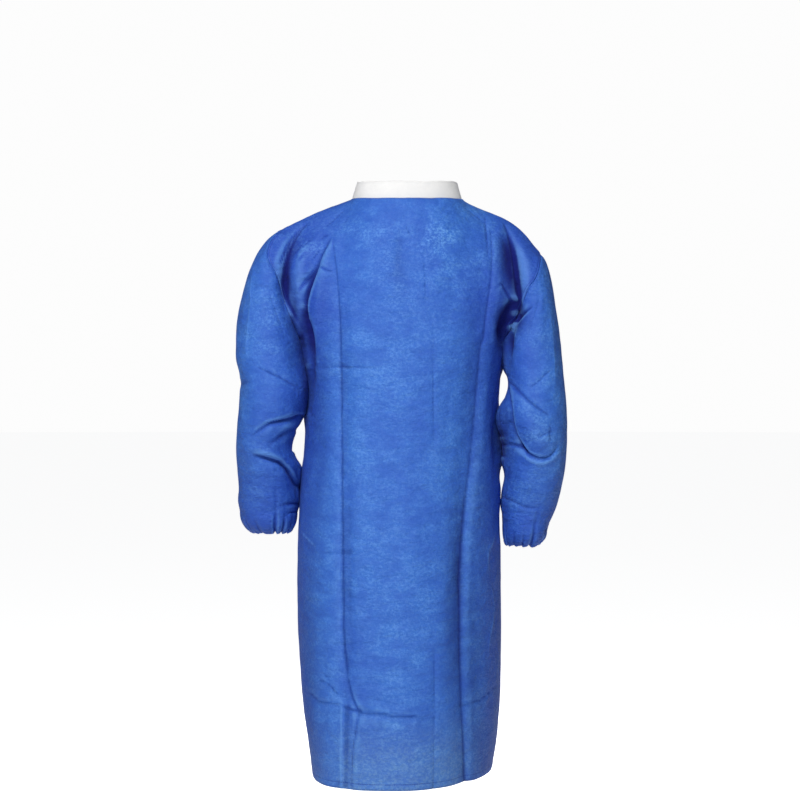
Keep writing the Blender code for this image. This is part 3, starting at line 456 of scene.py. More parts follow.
FRONT_CREASES: tuple[Crease, ...] = marked(
    Face.FRONT,
    # the folds from the shoulders
    (PINCH, (168, 44, 4, 0), (186, 66, 6, -6), (198, 100, 8, -11), (204, 140, 9, -12), (205, 185, 7, -6),
     (203, 215, 6, 0)),
    (PINCH, (-178, 52, 4, 0), (-194, 74, 6, -6), (-204, 108, 8, -11), (-208, 150, 9, -12), (-207, 192, 7, -6),
     (-204, 220, 6, 0)),
    (PLEAT, (132, 72, 9, 0), (146, 112, 10, -5), (158, 160, 9, -9), (168, 205, 8, -10), (172, 245, 8, 0)),
    (PLEAT, (-140, 262, 8, 0), (-164, 222, 8, -8), (-160, 172, 9, -8), (-148, 122, 10, -5), (-136, 82, 9, 0)),
    (SOFT, (150, 60, 13, 0), (172, 110, 14, 4), (180, 165, 12, 4), (180, 210, 10, 0)),
    (SOFT, (-158, 70, 13, 0), (-178, 120, 14, 4), (-184, 175, 12, 4), (-182, 215, 10, 0)),
    # the long packing creases
    (PINCH, (121, 70, 5, 0), (120, 130, 5.5, 1.6), (122, 330, 5.5, 1.8), (121, 560, 5.5, 2.0), (119, 800, 5.5, 2.2),
     (120, 1085, 5.5, 2.2)),
    (PINCH, (-124, 80, 5, 0), (-125, 150, 5.5, -1.6), (-128, 380, 5.5, -1.9), (-126, 620, 5.5, -2.1),
     (-124, 860, 5.5, -2.3), (-124, 1085, 5.5, -2.2)),
    (PINCH, (-60, 300, 3.5, -0.8), (-20, 303, 3.5, -1), (60, 302, 3.5, -1), (150, 300, 3.5, 0)),
    (PINCH, (-150, 655, 3.5, 0), (-80, 657, 3.5, -1), (0, 655, 3.5, -1), (90, 658, 3.5, -1), (150, 655, 3.5, 0)),
    (PLEAT, (160, 930, 4.5, 0), (110, 948, 4.6, -1.8), (60, 955, 4.8, -2.4), (10, 957, 4.8, -2), (-40, 955, 4.5, -1.2),
     (-90, 950, 4, 0)),
    # the full cloth of the sides at the elbows
    (SOFT, (190, 240, 8, 0), (187, 262, 9, 9), (184, 300, 9, 12), (183, 360, 9, 12), (184, 400, 9, 10),
     (184, 430, 8, 0)),
    (SOFT, (-192, 240, 8, 0), (-189, 262, 10, 10), (-187, 290, 10, 14), (-186, 315, 9, 8), (-185, 332, 8, 0)),
    (SOFT, (189, 480, 8, 0), (191, 505, 9, 5), (194, 535, 9, 5), (196, 565, 9, 4), (196, 590, 8, 0)),
    (SOFT, (-183, 370, 8, 0), (-183, 400, 10, 10), (-185, 430, 11, 18), (-187, 460, 11, 21), (-187, 488, 11, 18),
     (-187, 508, 9, 6), (-187, 522, 8, 2), (-187, 545, 8, 5), (-187, 570, 8, 5), (-187, 590, 8, 0)),
    # the pull of the snaps
    (SOFT, (6, 244, 9, 0), (34, 236, 10, 1.8), (70, 222, 10, 0)),
    (SOFT, (-26, 246, 9, 0), (-60, 238, 10, 1.6), (-96, 226, 10, 0)),
    (SOFT, (8, 394, 9, 0), (40, 404, 10, 1.8), (76, 420, 10, 0)),
    (SOFT, (-26, 396, 9, 0), (-58, 408, 10, 1.6), (-90, 428, 10, 0)),
    (SOFT, (6, 546, 10, 0), (40, 552, 12, 1.6), (84, 566, 12, 0)),
    (SOFT, (-24, 694, 10, 0), (-60, 700, 12, 1.8), (-100, 716, 12, 0)),
    # slack waves
    (SOFT, (60, 320, 16, 0), (96, 345, 18, 1.6), (140, 352, 16, 0)),
    (SOFT, (-70, 470, 16, 0), (-100, 500, 18, 1.6), (-146, 512, 16, 0)),
    (SOFT, (50, 720, 18, 0), (90, 760, 20, -2), (84, 850, 18, -2), (70, 900, 16, 0)),
    (SOFT, (-60, 860, 18, 0), (-84, 930, 20, 2.2), (-80, 1085, 18, 2.2)),
    (SOFT, (48, 980, 16, 0), (56, 1030, 18, 1.8), (58, 1085, 18, 2)),
)
LEFT_FRONT_CREASES: tuple[Crease, ...] = marked(
    Face.FRONT,
    # the full cloth against the side
    (SOFT, (188, 480, 8, 0), (192, 505, 9, 4), (193, 535, 9, 4), (194, 562, 9, 3), (195, 580, 8, 0)),
    (PLEAT, (194, 388, 6, -5), (212, 398, 6.5, -7), (232, 404, 6.5, -6), (254, 402, 6, -3), (272, 396, 5, 0)),
    (PLEAT, (196, 430, 6, -4), (214, 436, 7, -8), (236, 440, 7, -8), (262, 432, 6.5, -5), (284, 420, 5, 0)),
    (SOFT, (214, 418, 9, 0), (234, 422, 10, 4), (258, 418, 9, 3), (276, 410, 8, 0)),
    (PLEAT, (192, 470, 6, -4), (214, 466, 7, -6), (238, 472, 7, -6), (262, 486, 6, -3), (282, 494, 5, 0)),
    (PINCH, (286, 330, 4, 0), (262, 345, 4, -2), (236, 352, 4.4, -2.6), (208, 350, 4, -1), (196, 348, 4, 0)),
    (PINCH, (290, 250, 4, 0), (290, 300, 4, 1), (286, 350, 4, 1), (284, 380, 4, 0)),
    (SOFT, (226, 250, 14, 0), (244, 290, 15, 1.8), (248, 330, 13, 0)),
)
RIGHT_FRONT_CREASES: tuple[Crease, ...] = marked(
    Face.FRONT,
    # the full cloth against the side
    (SOFT, (-194, 250, 8, 0), (-194, 272, 10, 10), (-194, 295, 10, 12), (-195, 316, 9, 8), (-195, 332, 8, 0)),
    (SOFT, (-190, 370, 8, 0), (-189, 400, 10, 9), (-193, 430, 11, 15), (-197, 460, 11, 19), (-196, 488, 11, 16),
     (-194, 512, 9, 4), (-192, 540, 8, 4), (-190, 566, 8, 4), (-189, 588, 8, 0)),
    (PLEAT, (-278, 392, 5, 0), (-256, 402, 6, -4), (-232, 408, 6.5, -7), (-210, 404, 6.5, -7), (-192, 396, 6, -5)),
    (PLEAT, (-288, 424, 5, 0), (-264, 438, 6.5, -5), (-238, 446, 7, -8), (-216, 442, 7, -8), (-194, 436, 6, -4)),
    (SOFT, (-280, 414, 8, 0), (-258, 424, 9, 3), (-234, 428, 10, 4), (-212, 424, 9, 0)),
    (PLEAT, (-284, 500, 5, 0), (-262, 492, 6, -3), (-238, 480, 7, -6), (-214, 476, 7, -6), (-196, 480, 6, -4)),
    (PINCH, (-196, 330, 4, 0), (-214, 344, 4, -2), (-240, 350, 4.4, -2.4), (-266, 346, 4, 0)),
    (PINCH, (-286, 260, 4, 0), (-290, 310, 4, 1), (-290, 360, 4, 0)),
    (SOFT, (-230, 250, 14, 0), (-244, 290, 15, 1.8), (-246, 335, 13, 0)),
)
# the large folds from the shoulders, which cross on to the sleeves
SHOULDER_FOLDS: tuple[Crease, ...] = marked(
    Face.BEHIND,
    (SOFT, (165, 52, 14, 0), (196, 84, 14, -8), (208, 110, 14, -9), (213, 150, 14, -8), (206, 215, 14, 0)),
    (SOFT, (-185, 60, 14, 0), (-202, 92, 14, -8), (-210, 120, 14, -9), (-213, 160, 14, -8), (-206, 215, 14, 0)),
) + marked(
    Face.FRONT,
    (SOFT, (170, 60, 14, 0), (192, 94, 14, -6), (202, 120, 14, -7), (208, 160, 14, -6), (210, 190, 14, 0)),
    (SOFT, (-180, 65, 14, 0), (-198, 98, 14, -6), (-206, 122, 14, -7), (-209, 165, 14, -6), (-210, 200, 14, 0)),
)
# the large folds of the back and the fronts
PANEL_FOLDS: tuple[Crease, ...] = marked(
    Face.BEHIND,
    (SOFT, (120, 55, 14, 0), (134, 92, 14, 4), (144, 125, 14, 5), (160, 190, 14, 0)),
    (SOFT, (117, 100, 16, 0), (112, 240, 16, -4), (107, 500, 16, -5), (103, 880, 16, -5), (110, 1085, 16, -5)),
    (SOFT, (-156, 110, 18, 0), (-145, 250, 18, -4), (-120, 500, 18, -5), (-113, 800, 18, -5), (-114, 1085, 18, -5)),
    (SOFT, (-168, 200, 22, 0), (-156, 350, 22, 3.5), (-142, 560, 22, 4), (-145, 800, 22, 0)),
) + marked(
    Face.FRONT,
    (SOFT, (120, 150, 16, 0), (122, 380, 16, -5), (121, 700, 16, -6), (118, 1085, 16, -6)),
    (SOFT, (-125, 160, 16, 0), (-128, 400, 16, -5), (-127, 700, 16, -6), (-124, 1085, 16, -6)),
)


# ---- small maths


def ease(t: Array | float) -> Array:
    """A smooth step from 0 to 1."""
    t = np.clip(t, 0, 1)
    return t * t * (3 - 2 * t)


def past(value: Array | float, start: float, width: float) -> Array:
    """A smooth step from 0 at a start to 1 a width further on."""
    return ease((value - start) / width)


def unit(vectors: Array) -> Array:
    """The same directions, each of length 1."""
    return vectors / np.maximum(np.linalg.norm(vectors, axis=-1, keepdims=True), 1e-12)


def signed_power(value: Array, power: float | Array) -> Array:
    """A power that keeps the sign."""
    return np.sign(value) * np.abs(value) ** power


def read(table: tuple, column: str, at: Array | float, key: str = "drop") -> Array:
    """Reads a column of a table on a smooth curve through its rows.

    Args:
        table: Rows that hold the key and the column by name.
        column: The name of the column to read.
        at: The values of the key to read at.
        key: The name of the column that orders the rows.

    Returns:
        The column's value at each of them.
    """
    keys = np.array([getattr(row, key) for row in table], float)
    values = np.array([getattr(row, column) for row in table], float)
    slopes = np.gradient(values, keys)
    at = np.clip(at, keys[0], keys[-1])
    i = np.clip(np.searchsorted(keys, at) - 1, 0, len(keys) - 2)
    step = keys[i + 1] - keys[i]
    t = (at - keys[i]) / step
    return (
        (1 + 2 * t) * (1 - t) ** 2 * values[i]
        + t * (1 - t) ** 2 * step * slopes[i]
        + t**2 * (3 - 2 * t) * values[i + 1]
        + t**2 * (t - 1) * step * slopes[i + 1]
    )


def seen_flat(points: Array, face: Face) -> tuple[Array, Array]:
    """Where points are seen against the coat's mid plane.

    Args:
        points: Points in metres, the last axis holding x, y and z.
        face: Whether they are seen from behind or from the front.

    Returns:
        Their places across and down, in metres.
    """
    nearer = VIEW_DISTANCE / (VIEW_DISTANCE - face.value * points[..., 1])
    eye = -VIEW_DROP
    return points[..., 0] * nearer, -(eye + (points[..., 2] - eye) * nearer)


# ---- cloth as a grid of points


@dataclass
class Cloth:
    """A sheet of cloth as rows and columns of points, with its rows running down."""

    name: str
    points: Array
    closed: bool = False
    width: float = 0.0  # on a tube, its flat width
    heights: Array = field(init=False)
    normals: Array = field(init=False)
    along: Array = field(init=False)  # how far each point is down the cloth
    across: Array = field(init=False)  # how far it is across the cloth
    marks: dict[str, Array] = field(init=False)  # what the finish reads at each point

    def __post_init__(self) -> None:
        """Finds the outward normals and how far each point is along the cloth."""
        self.heights = np.zeros(self.points.shape[:2])
        self.find_normals()
        down = np.linalg.norm(np.diff(self.points, axis=0), axis=2)
        self.along = np.vstack([np.zeros(down.shape[1]), np.cumsum(down, axis=0)])
        if self.closed:
            count = self.points.shape[1]
            self.across = np.tile(np.arange(count + 1) / count * self.width, (len(self.points), 1))
            side = np.abs(np.arange(count) / count - 0.5) * self.width
            self.marks = {"from_side": np.tile(side, (len(self.points), 1))}
        else:
            step = np.linalg.norm(np.diff(self.points, axis=1), axis=2)
            self.across = np.hstack([np.zeros((len(step), 1)), np.cumsum(step, axis=1)])
            middle = self.across[:, -1:] / 2
            self.marks = {"from_side": middle - np.abs(self.across - middle)}
            self.across = self.across - middle
        self.marks["from_top"] = self.along.copy()
        self.marks["from_hem"] = self.along[-1] - self.along
        self.marks["from_front"] = np.full(self.heights.shape, 1.0)

    def find_normals(self) -> None:
        """Finds the outward normals of the points as they now are."""
        down = np.gradient(self.points, axis=0)
        if self.closed:
            step = (np.roll(self.points, -1, axis=1) - np.roll(self.points, 1, axis=1)) / 2
        else:
            step = np.gradient(self.points, axis=1)
        self.normals = unit(np.cross(down, step))

    def ease_corners(self, passes: int = 160) -> None:
        """Rounds off what the corners of the top edge would press into the cloth below them.

        Args:
            passes: How often each point moves towards its neighbours across.
        """
        top, side = self.marks["from_top"], self.marks["from_side"]
        inner = past(top, 0.002, 0.05) * past(side, 0.005, 0.05) * (1 - past(top, 0.22, 0.10))
        for _ in range(passes):
            middle = (self.points[:, :-2] + self.points[:, 2:]) / 2 - self.points[:, 1:-1]
            self.points[:, 1:-1] += 0.5 * middle * inner[:, 1:-1, None]
        self.find_normals()

    def seen(self, face: Face) -> tuple[Array, Array, Array]:
        """Each point's place across and down as seen from a side, and from 0 to 1 how far it faces that side."""
        across, drop = seen_flat(self.points, face)
        return across, drop, ease(0.5 + self.normals[..., 1] * face.value * 1.8)

    def crease(self, creases: tuple[Crease, ...]) -> None:
        """Adds creases to the heights, on the face of the cloth that each lies on.

        Args:
            creases: The creases to add.
        """
        for crease in creases:
            across, drop, facing = self.seen(crease.face)
            self.heights += crease.height_at(across, drop) * facing

    def shade(self, patches: tuple[PaintedLightPatch, ...]) -> None:
        """Marks the painted shade at the cloth's sides, the greyer band near its hem, and the patches of painted
        highlight and painted shade.

        Args:
            patches: The patches of painted highlight and painted shade.
        """
        hem, side = self.marks["from_hem"], self.marks["from_side"]
        # painted shade towards a sheet's sides, where the cloth turns away from the light
        deeper = 1 - past(side, 0.05, 0.12)
        # greyer and paler near the hem, less at the sides and away from the middle
        chalky = (1 - past(hem, 0.03, 0.12)) * (1 - 0.75 * deeper)
        chalky *= 1 - 0.65 * past(abs(self.points[..., 0]), 0.085, 0.05)
        # on a sleeve, the painted shade falls at its inner side and grows towards its gathered end
        if self.closed:
            deeper = np.maximum(deeper * 0.6, 0.8 - 0.8 * past(hem, 0.04, 0.16))
            chalky = np.zeros(hem.shape)
        frosted, depth = np.zeros(hem.shape), self.marks["depth"]
        for patch in patches:
            across, drop, facing = self.seen(patch.face)
            away = ((across * 1000 - patch.across) / patch.half_width) ** 2
            away += ((drop * 1000 - patch.drop) / patch.half_height) ** 2
            mark = abs(patch.strength) * np.exp(-away) * facing
            # a patch above 0 adds painted highlight, and one below 0 adds painted shade to the depth
            if patch.strength > 0:
                frosted += mark
            else:
                depth += mark * (1 - depth)
        self.marks |= {"deeper": deeper, "chalky": chalky, "frosted": frosted}

    def crumple(self, height: float, size: float, seed: int) -> None:
        """Adds a slight unevenness.

        Args:
            height: How high it is, in metres.
            size: The size of its waves, in metres.
            seed: Which pattern it takes.
        """
        across = self.across[:, : self.points.shape[1]]
        flat = np.stack([across.ravel(), self.along.ravel()], axis=1) / size
        waves = [noise.noise(Vector((u, v * 0.6, seed * 7.3))) for u, v in flat]
        self.heights += height * np.array(waves).reshape(self.heights.shape)

    def settle(self, passes: int = 4) -> None:
        """Marks what is hollow or stands proud, and moves the points out by their heights.

        Args:
            passes: How often the heights are evened out to find what lies below or above them.
        """
        even = self.heights.copy()
        for _ in range(passes):
            padded = np.pad(even, ((1, 1), (0, 0)), mode="edge")
            even = (padded[:-2] + 2 * even + padded[2:]) / 4
            padded = np.pad(even, ((0, 0), (1, 1)), mode="wrap" if self.closed else "edge")
            even = (padded[:, :-2] + 2 * even + padded[:, 2:]) / 4
        # these marks carry painted shade into hollows and deep folds, and painted highlight on to ridges
        self.marks["hollow"] = np.clip((even - self.heights) / FULL_HOLLOW, -1, 1)
        self.marks["depth"] = past(-self.heights, 0.003, 0.011)
        self.points = self.points + self.normals * self.heights[..., None]

    def cells(self) -> tuple[Array, Array]:
        """The row and the column of each face of the grid."""
        rows, across = self.points.shape[:2]
        return np.meshgrid(np.arange(rows - 1), np.arange(across if self.closed else across - 1), indexing="ij")

    def faces(self) -> list[tuple[int, int, int, int]]:
        """Lists the four-sided faces of the grid, which face outwards.

        Returns:
            The numbers of each face's corners.
        """
        across = self.points.shape[1]
        r, c = self.cells()
        a, b = r * across + c, r * across + (c + 1) % across
        quads = np.stack([a, a + across, b + across, b], axis=-1).reshape(-1, 4)
        return [tuple(int(i) for i in quad) for quad in quads]

    def make(self, material: bpy.types.Material, thickness: float = SHELL) -> bpy.types.Object:
        """Makes the mesh, with its flat layout, its distances from the edges and its thickness.

        Args:
            material: The finish of the cloth.
            thickness: How thick the cloth shows.

        Returns:
            The finished object.
        """
        mesh = bpy.data.meshes.new(self.name)
        mesh.from_pydata(self.points.reshape(-1, 3).tolist(), [], self.faces())
        mesh.materials.append(material)
        layout = mesh.uv_layers.new(name="cloth")
        r, c = self.cells()
        corners = []
        for down, right in ((0, 0), (1, 0), (1, 1), (0, 1)):
            along = self.along[r + down, (c + right) % self.points.shape[1]]
            corners.append(np.stack([self.across[r + down, c + right], -along], axis=-1))
        layout.data.foreach_set("uv", np.stack(corners, axis=2).reshape(-1).astype(np.float32))
        for mark, values in self.marks.items():
            made = mesh.attributes.new(mark, "FLOAT", "POINT")
            made.data.foreach_set("value", values.reshape(-1).astype(np.float32))
        mesh.shade_smooth()
        cloth = bpy.data.objects.new(self.name, mesh)
        bpy.context.scene.collection.objects.link(cloth)
        give_thickness(cloth, thickness)
        LOG.info("%s: %d faces", self.name, len(mesh.polygons))
        return cloth

    def edges(self) -> list[tuple[tuple, Array, int]]:
        """Lists the top edge and, on an open cloth, its sides.

        Returns:
            For each, its place in the grid, every point's distance from it and the axis that it lacks.
        """
        found = [(np.s_[0, :], self.marks["from_top"], 0)]
        if not self.closed:
            left = np.abs(self.across - self.across[:, :1])
            right = np.abs(self.across - self.across[:, -1:])
            found += [(np.s_[:, 0], left, 1), (np.s_[:, -1], right, 1)]
        return found


def give_thickness(cloth: bpy.types.Object, thickness: float) -> None:
    """Gives a sheet its thickness, inwards from its outer side.

    Args:
        cloth: The sheet's object.
        thickness: In metres.
    """
    bpy.ops.object.select_all(action="DESELECT")
    cloth.select_set(True)
    bpy.context.view_layer.objects.active = cloth
    wall = cloth.modifiers.new("thickness", "SOLIDIFY")
    wall.thickness = thickness
    wall.offset = -1
    wall.use_even_offset = False
    bpy.ops.object.modifier_apply(modifier=wall.name)


class SeamSpot(NamedTuple):
    """One point of a cloth that meets others at a seam."""

    cloth: str
    row: int
    column: int


@dataclass
class Seams:
    """The points at which the cloths meet, seam by seam."""

    cloths: dict[str, Cloth]
    groups: list[tuple[SeamSpot, ...]]

    def level(self, reach: float) -> None:
        """Makes the cloths that meet stand equally far out there, each fading to it from within.

        Args:
            reach: How far in from the seam a cloth is changed, in metres.
        """
        wanted = {name: np.full(cloth.heights.shape, np.nan) for name, cloth in self.cloths.items()}
        facing = {name: np.zeros(cloth.points.shape) for name, cloth in self.cloths.items()}
        for group in self.groups:
            height = sum(self.cloths[s.cloth].heights[s.row, s.column] for s in group) / len(group)
            mean = unit(sum(self.cloths[s.cloth].normals[s.row, s.column] for s in group))
            for s in group:
                normal = self.cloths[s.cloth].normals[s.row, s.column]
                wanted[s.cloth][s.row, s.column] = height
                facing[s.cloth][s.row, s.column] = (mean - normal) * past(normal @ mean, 0.5, 0.3)
        for name, cloth in self.cloths.items():
            for edge, away, axis in cloth.edges():
                there = wanted[name][edge]
                change = np.where(np.isnan(there), 0, there - cloth.heights[edge])
                turn = np.where(np.isnan(there)[..., None], 0, facing[name][edge])
                fade = 1 - ease(away / reach)
                cloth.heights += np.expand_dims(change, axis) * fade
                cloth.normals = unit(cloth.normals + np.expand_dims(turn, axis) * fade[..., None])
                facing[name][edge] = 0

    def close(self, reach: float) -> None:
        """Brings the points that meet together, once the cloths have settled.

        Args:
            reach: How far in from the seam a cloth is changed, in metres.
        """
        pull = {name: np.zeros(cloth.points.shape) for name, cloth in self.cloths.items()}
        for group in self.groups:
            mean = sum(self.cloths[s.cloth].points[s.row, s.column] for s in group) / len(group)
            for s in group:
                pull[s.cloth][s.row, s.column] = mean - self.cloths[s.cloth].points[s.row, s.column]
        for name, cloth in self.cloths.items():
            for edge, away, axis in cloth.edges():
                turn = pull[name][edge].copy()
                pull[name][edge] = 0
                cloth.points += np.expand_dims(turn, axis) * (1 - ease(away / reach))[..., None]


# ---- finishes


class Graph:
    """A node tree with short ways to add and join nodes. A value is an output, a number or a colour."""

    def __init__(self, tree: bpy.types.NodeTree) -> None:
        """Keeps the tree."""
        self.tree = tree

    def put(self, socket: Socket, value: object) -> None:
        """Joins an output to a socket, or sets the socket's own value.

        Args:
            socket: The socket that takes it.
            value: The value.
        """
        if isinstance(value, Socket):
            self.tree.links.new(value, socket)
        else:
            socket.default_value = value

    def fill(self, node: bpy.types.Node, values: dict[str | int, object]) -> None:
        """Gives a node's inputs their values, by their names or numbers."""
        for label, value in values.items():
            self.put(node.inputs[label], value)

    def add(self, kind: str, values: dict[str | int, object] | None = None, **settings: object) -> bpy.types.Node:
        """Adds a node.

        Args:
            kind: The node's type, such as ShaderNodeMath.
            values: What its inputs take, by their names or numbers.
            **settings: Its properties.

        Returns:
            The node.
        """
        node = self.tree.nodes.new(kind)
        for key, value in settings.items():
            setattr(node, key, value)
        self.fill(node, values or {})
        return node

    def maths(self, operation: str, *values: object, clamp: bool = False) -> Socket:
        """The result of an operation, such as ADD, kept between 0 and 1 if it is clamped."""
        return self.add("ShaderNodeMath", dict(enumerate(values)), operation=operation, use_clamp=clamp).outputs[0]

    def times(self, one: object, two: object, clamp: bool = False) -> Socket:
        """The product of two values."""
        return self.maths("MULTIPLY", one, two, clamp=clamp)

    def plus(self, one: object, two: object, clamp: bool = False) -> Socket:
        """The sum of two values."""
        return self.maths("ADD", one, two, clamp=clamp)

    def step(self, value: object, low: float, high: float) -> Socket:
        """A smooth step from 0, where the value is low, to 1, where it is high."""
        span = {"Value": value, "From Min": low, "From Max": high}
        return self.add("ShaderNodeMapRange", span, interpolation_type="SMOOTHSTEP", clamp=True).outputs["Result"]

    def range(self, value: object, low: float, high: float) -> Socket:
        """A value from 0 to 1 brought to the span from low to high."""
        span = {"Value": value, "To Min": low, "To Max": high}
        return self.add("ShaderNodeMapRange", span, clamp=True).outputs["Result"]

    def mix(self, factor: object, one: object, two: object) -> Socket:
        """Two colours mixed, with the factor as the share of the second."""
        return self.add("ShaderNodeMix", {0: factor, 6: one, 7: two}, data_type="RGBA", clamp_factor=True).outputs[2]

    def cloud(self, vector: object, scale: float, detail: float, rough: float = 0.5, kind: str = "FBM") -> Socket:
        """A noise texture's value at a vector, with its scale, its finer layers, their strength and its type."""
        values = {"Vector": vector, "Scale": scale, "Detail": detail, "Roughness": rough}
        return self.add("ShaderNodeTexNoise", values, noise_type=kind).outputs[0]

    def stretch(self, vector: object, scale: Triple) -> Socket:
        """A vector scaled along its axes."""
        return self.add("ShaderNodeMapping", {"Vector": vector, "Scale": scale}).outputs[0]

    def split(self, vector: object) -> bpy.types.NodeOutputs:
        """The x, y and z of a vector."""
        return self.add("ShaderNodeSeparateXYZ", {0: vector}).outputs

    def mark(self, name: str) -> Socket:
        """One of the values that the cloth's points carry."""
        return self.add("ShaderNodeAttribute", attribute_name=name).outputs["Fac"]

    def effect(self, group: str, values: dict[str, object]) -> bpy.types.NodeOutputs:
        """The outputs of a shared effect, a node group that takes its values by name."""
        return self.add("ShaderNodeGroup", values, node_tree=bpy.data.node_groups[group]).outputs

    def bump(self, values: dict[str, object]) -> Socket:
        """The normal that a height makes, with its strength, its distance and the normal below it, if any."""
        return self.add("ShaderNodeBump", values).outputs[0]


def new_group(name: str, inputs: dict[str, tuple[str, float | None]], outputs: list[str]) -> tuple[Graph, dict, dict]:
    """Starts a shader node group.

    Args:
        name: The group's name.
        inputs: The inputs' names, each with its socket type and its first value.
        outputs: The names of the outputs, which are all numbers.

    Returns:
        The graph, its inputs by name and its output sockets by name.
    """
    tree = bpy.data.node_groups.new(name, "ShaderNodeTree")
    for label, (kind, value) in inputs.items():
        socket = tree.interface.new_socket(label, in_out="INPUT", socket_type=kind)
        if value is not None:
            socket.default_value = value
    for label in outputs:
        tree.interface.new_socket(label, in_out="OUTPUT", socket_type="NodeSocketFloat")
    graph = Graph(tree)
    start, end = graph.add("NodeGroupInput"), graph.add("NodeGroupOutput")
    return graph, {k: start.outputs[k] for k in inputs}, {k: end.inputs[k] for k in outputs}


def new_material(name: str) -> tuple[bpy.types.Material, Graph, bpy.types.Node]:
    """Starts a material.

    Args:
        name: Its name.

    Returns:
        The material, its graph and its shader.
    """
    made = bpy.data.materials.new(name)
    made.use_nodes = True
    return made, Graph(made.node_tree), made.node_tree.nodes["Principled BSDF"]


def fibre_cloud_group() -> bpy.types.NodeTree:
    """Uneven laying of the fibres: wide clouds, small flecks and fine threads, each from 0 to 1.

    Returns:
        The group, with the outputs Cloud, Fleck and Thread.
    """
    graph, given, out = new_group("fibre_cloud", {"Place": ("NodeSocketVector", None)}, ["Cloud", "Fleck", "Thread"])
    place = given["Place"]
    wide = graph.cloud(graph.stretch(place, (0.85, 0.85, 1.4)), 24.0, 8.0, 0.70)
    graph.put(out["Cloud"], graph.step(wide, 0.34, 0.66))
    small = graph.cloud(graph.stretch(place, (1.0, 1.0, 1.25)), 190.0, 5.0, 0.75)
    graph.put(out["Fleck"], graph.step(small, 0.42, 0.64))
    upright = graph.cloud(graph.stretch(place, (1.0, 1.0, 0.16)), 900.0, 2.0, 0.6)
    level = graph.cloud(graph.stretch(place, (0.16, 0.16, 1.0)), 900.0, 2.0, 0.6)
    graph.put(out["Thread"], graph.maths("MAXIMUM", graph.step(upright, 0.45, 0.75), graph.step(level, 0.45, 0.75)))
    return graph.tree


def point_bond_group() -> bpy.types.NodeTree:
    """The small pressed ovals that bond the fibres, in staggered rows.

    Returns:
        The group, with the output Pressed, 1 in an oval and 0 between them.
    """
    graph, given, out = new_group(
        "point_bond", {"Place": ("NodeSocketVector", None), "Pitch": ("NodeSocketFloat", 0.0016)}, ["Pressed"]
    )
    across, down, _ = graph.split(given["Place"])
    u, v = (graph.maths("DIVIDE", way, given["Pitch"]) for way in (across, down))
    shift = graph.times(graph.maths("FLOORED_MODULO", graph.maths("FLOOR", v), 2.0), 0.5)
    x = graph.maths("SUBTRACT", graph.maths("FRACT", graph.plus(u, shift)), 0.5)
    y = graph.maths("SUBTRACT", graph.maths("FRACT", v), 0.5)
    squares = graph.plus(graph.maths("POWER", graph.times(x, 0.8), 2.0), graph.maths("POWER", y, 2.0))
    oval = graph.step(graph.maths("SQRT", squares), 0.16, 0.33)
    graph.put(out["Pressed"], graph.maths("SUBTRACT", 1.0, oval))
    return graph.tree


def stitch_row_group() -> bpy.types.NodeTree:
    """A row of stitches at a set distance from an edge.

    Returns:
        The group, with the outputs Thread, 1 on a stitch, and Dip, 1 along the row.
    """
    numbers = {"Away": 1.0, "Along": 0.0, "Offset": 0.006, "Pitch": 0.0032}
    inputs = {label: ("NodeSocketFloat", value) for label, value in numbers.items()}
    graph, given, out = new_group("stitch_row", inputs, ["Thread", "Dip"])
    away = graph.maths("ABSOLUTE", graph.maths("SUBTRACT", given["Away"], given["Offset"]))
    place = graph.maths("FRACT", graph.maths("DIVIDE", given["Along"], given["Pitch"]))
    dash = graph.step(graph.maths("ABSOLUTE", graph.maths("SUBTRACT", place, 0.5)), 0.40, 0.30)
    graph.put(out["Thread"], graph.times(graph.step(away, 0.0006, 0.0003), dash))
    graph.put(out["Dip"], graph.step(away, 0.0022, 0.0))
    return graph.tree


@dataclass(frozen=True)
class StitchRow:
    """Which edge a row of stitches follows and how far in it runs."""

    mark: str
    offset: float
    down: bool  # whether it runs down the cloth


